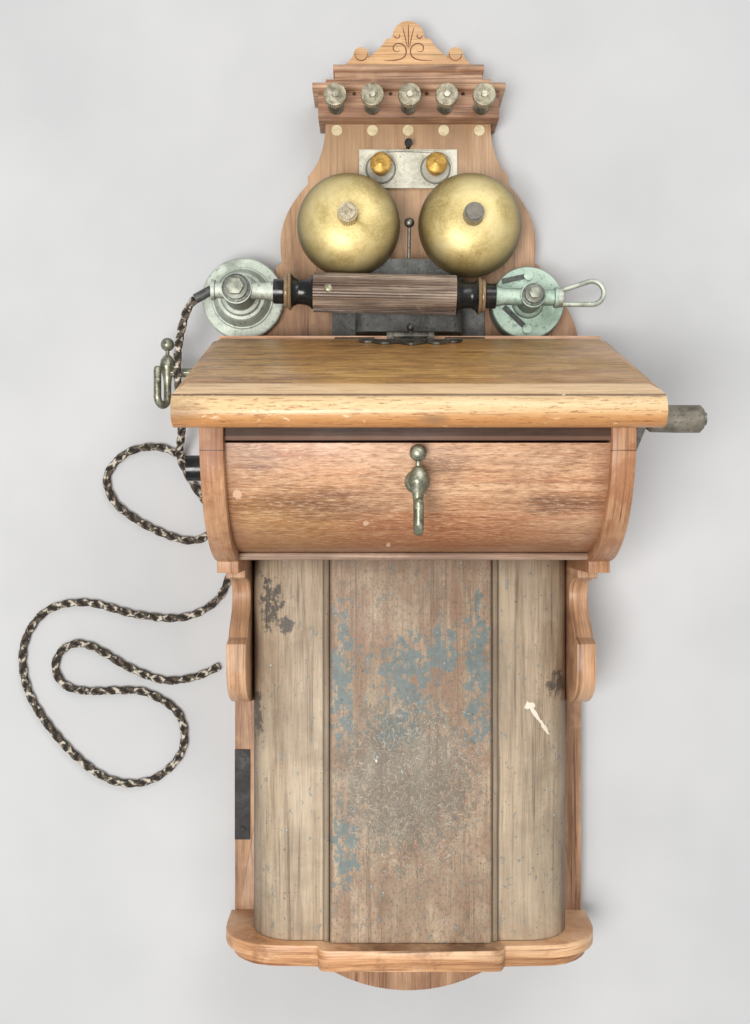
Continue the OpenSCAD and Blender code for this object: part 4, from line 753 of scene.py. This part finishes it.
# Paint, ebonite, ivory, windings and card
EBONITE = ((16, 17, 17), (28, 30, 30), (52, 55, 54))
set_look(metal("ebonite", *EBONITE, 0.18, 70, metallic=0.0, bump=0.05),
         "shaft_bush", "cord_bush", "mouthpiece", "earpiece")
set_look(metal("ferrule_black", *EBONITE, 0.18, 70, metallic=0.0, bump=0.05, stain_and_shading=ferrule_stain),
         "handset_ferrules")
set_look(metal("magnet_enamel", (60, 18, 16), (92, 28, 24), (120, 44, 38), 0.4, 60, metallic=0.0),
         "magneto_magnets")
set_look(metal("grey_paint", (58, 58, 56), (92, 93, 91), (128, 130, 128), 0.5, 90, spots=(58, 50, 42),
               metallic=0.2), "ringer_cover")
set_look(metal("ivory", (206, 190, 146), (232, 218, 178), (244, 234, 204), 0.5, 200, metallic=0.0),
         "label_discs")
set_look(metal("handle_dark", (84, 80, 70), (124, 119, 106), (156, 150, 136), 0.5, 80, spots=(84, 78, 66),
               metallic=0.0), "crank_handle")
set_look(metal("winding_red", (80, 26, 20), (120, 44, 32), (150, 70, 52), 0.7, 300, metallic=0.0),
         "ringer_coils")
set_look(metal("winding_green", (30, 44, 28), (50, 68, 44), (76, 92, 64), 0.7, 300, metallic=0.0),
         "induction_coil")
set_look(metal("cell_card", (84, 80, 72), (112, 108, 98), (140, 136, 124), 0.8, 90, metallic=0.0),
         "dry_cells")


def plait_look():
    """Dark cotton strands with long white flecks and painted shade between them, wound as the cord's surface
    is.
    """
    look = Look("cord_plait", 0.85)
    uv = look.node("UVMap")
    uv.uv_map = "plait"
    sep = look.node("SeparateXYZ")
    look.link(uv.outputs["UV"], sep.inputs[0])
    turns = look.times(sep.outputs[1], PLAIT_STRANDS / 2)
    laps = look.times(sep.outputs[0], 1 / (PLAIT_PITCH * MM))
    wave_a = look.math("COSINE", look.times(look.plus(turns, laps), 2 * math.pi))
    wave_b = look.math("COSINE", look.times(look.minus(turns, laps), 2 * math.pi))
    warm = look.ramp(look.noise(900, 3), [(0.35, (70, 60, 50)), (0.65, (112, 100, 86))])
    deep = look.ramp(look.noise(900, 3), [(0.35, (34, 30, 27)), (0.65, (70, 62, 54))])
    base = look.mix(look.math("GREATER_THAN", wave_a, wave_b), deep, warm)
    ridge = look.math("MAXIMUM", wave_a, wave_b)
    fleck = look.times(look.span(look.noise(240, 3, 0.6), 0.50, 0.58), look.span(ridge, 0.35, 0.8))
    base = look.paint(base, (224, 216, 200), fleck, 0.85)
    # Painted shade in the grooves between the strands.
    base = look.paint(base, (20, 18, 16), look.span(ridge, 0.1, -0.5), 0.8)
    look.colour(base)
    look.bump(look.noise(2600, 2), 0.4, 0.3 * MM)
    return look.mat


cord.data.materials.append(plait_look())

# Carved lines on the crest, as narrow dark strips of painted shade just over its face, in millimetres
CREST_FACE = 26.0
STRIP_LIFT = 0.08
STRIP_STEP = 0.6
STRIP_SPAN_POINTS = 8
SCROLL = [(-6.2, 332.5), (-7.4, 331.3), (-9.6, 331.5), (-10.9, 333.4), (-10.2, 336.0), (-7.4, 337.2),
          (-3.8, 336.2), (-1.7, 333.0), (-2.0, 329.0), (-4.8, 326.3), (-9.4, 325.2), (-17.5, 325.0)]
VEIN = [(-4.3, 349.4), (-2.4, 342.2), (-0.7, 333.8)]
CURL = [(-10.5, 343.0), (-8.4, 340.9), (-6.3, 342.0), (-6.7, 344.2)]
MIDDLE_VEIN = [(0, 351.4), (0.1, 342), (0, 333.4)]
END_X, END_Y, END_R = -33.9, 329.4, 4.5
END_SCROLL = [(END_X + END_R * math.cos(math.radians(a)), END_Y + END_R * math.sin(math.radians(a)))
              for a in range(170, 381, 15)]


def ribbon(points, width):
    """A flat strip along a line on the crest's face, narrower at its ends."""
    raised = [(x, y, CREST_FACE + STRIP_LIFT) for x, y in points]
    line = even_line(smooth_line(raised, STRIP_SPAN_POINTS), STRIP_STEP)
    verts, faces = [], []
    for i, p in enumerate(line):
        d = direction(line, i)
        taper = min(1.0, 0.25 + 4 * min(i, len(line) - 1 - i) / len(line))
        side = Vector((-d.y, d.x, 0)) * width / 2 * taper
        verts += [(p - side) * MM, (p + side) * MM]
        if i:
            faces.append((2 * i - 2, 2 * i, 2 * i + 1, 2 * i - 1))
    return verts, faces


def turned(faces):
    return [tuple(reversed(q)) for q in faces]


strips = []
for points, width in ((SCROLL, 0.9), (VEIN, 0.7), (CURL, 0.8), (END_SCROLL, 0.8)):
    strips.append(ribbon(points, width))
    verts, faces = ribbon([(-x, y) for x, y in points], width)
    strips.append((verts, turned(faces)))
strips.append(ribbon(MIDDLE_VEIN, 0.8))
carve_verts, carve_faces = [], []
for verts, faces in strips:
    carve_faces += [tuple(k + len(carve_verts) for k in q) for q in faces]
    carve_verts += verts
carving = add_mesh("crest_carving", carve_verts, turned(carve_faces), "case")
# The strips' dark colour is painted shade standing in for the cut grooves.
groove = Look("carved_groove_shade", 0.6)
groove.colour(groove.ramp(groove.noise(300, 4), [(0.35, (104, 62, 34)), (0.65, (150, 96, 56))]))
carving.data.materials.append(groove.mat)


def on_handset(x, y, z):
    """A point of the handset's own frame, in millimetres, as one of the shared frame in metres."""
    c, s = math.cos(HANDSET_TILT), math.sin(HANDSET_TILT)
    return Vector((HANDSET_X + x * c - y * s, HANDSET_Y + x * s + y * c, HANDSET_Z + z)) * MM


# A small round stud on the grip
STUD_X, STUD_Y, STUD_TOP = -38.5, 0.6, 14.4
STUD_RINGS = ((1.8, 14.2), (3.0, 13.6), (3.2, 12.6))
STUD_SIDES = 20
stud_verts, stud_faces = [on_handset(STUD_X, STUD_Y, STUD_TOP)], []
for r, z in STUD_RINGS:
    for k in range(STUD_SIDES):
        a = 2 * math.pi * k / STUD_SIDES
        stud_verts.append(on_handset(STUD_X + r * math.cos(a), STUD_Y + r * math.sin(a), z))
for k in range(STUD_SIDES):
    j = (k + 1) % STUD_SIDES
    stud_faces.append((0, 1 + k, 1 + j))
    for ring in range(len(STUD_RINGS) - 1):
        inner = 1 + STUD_SIDES * ring
        outer = inner + STUD_SIDES
        stud_faces.append((inner + k, outer + k, outer + j, inner + j))
stud = add_mesh("grip_stud", stud_verts, stud_faces, "handset")
stud.data.materials.append(nickel)

# The receiver plate's two dark spring bars, each from one end to the other
RECEIVER_X = 101.5
BAR_HALF = 1.75
BAR_HEIGHTS = (-21.2, -19.4)
BARS = (((-18.5, 14.6), (-2.6, 18.3)), ((-17, -3.5), (-2.4, -16.7)))
BOX_FACES = ((3, 2, 1, 0), (4, 5, 6, 7), (0, 1, 5, 4), (1, 2, 6, 5), (2, 3, 7, 6), (3, 0, 4, 7))
bar_verts, bar_faces = [], []
for (ax, ay), (bx, by) in BARS:
    d = Vector((bx - ax, by - ay, 0)).normalized()
    n = Vector((-d.y, d.x, 0)) * BAR_HALF
    first = len(bar_verts)
    for z in BAR_HEIGHTS:
        for x, y in ((ax + n.x, ay + n.y), (ax - n.x, ay - n.y), (bx - n.x, by - n.y), (bx + n.x, by + n.y)):
            bar_verts.append(on_handset(RECEIVER_X + x, y, z))
    bar_faces += [tuple(first + k for k in q) for q in BOX_FACES]
bars = add_mesh("receiver_bars", bar_verts, bar_faces, "handset", smooth=False)
bars.data.materials.append(dark_sleeve)
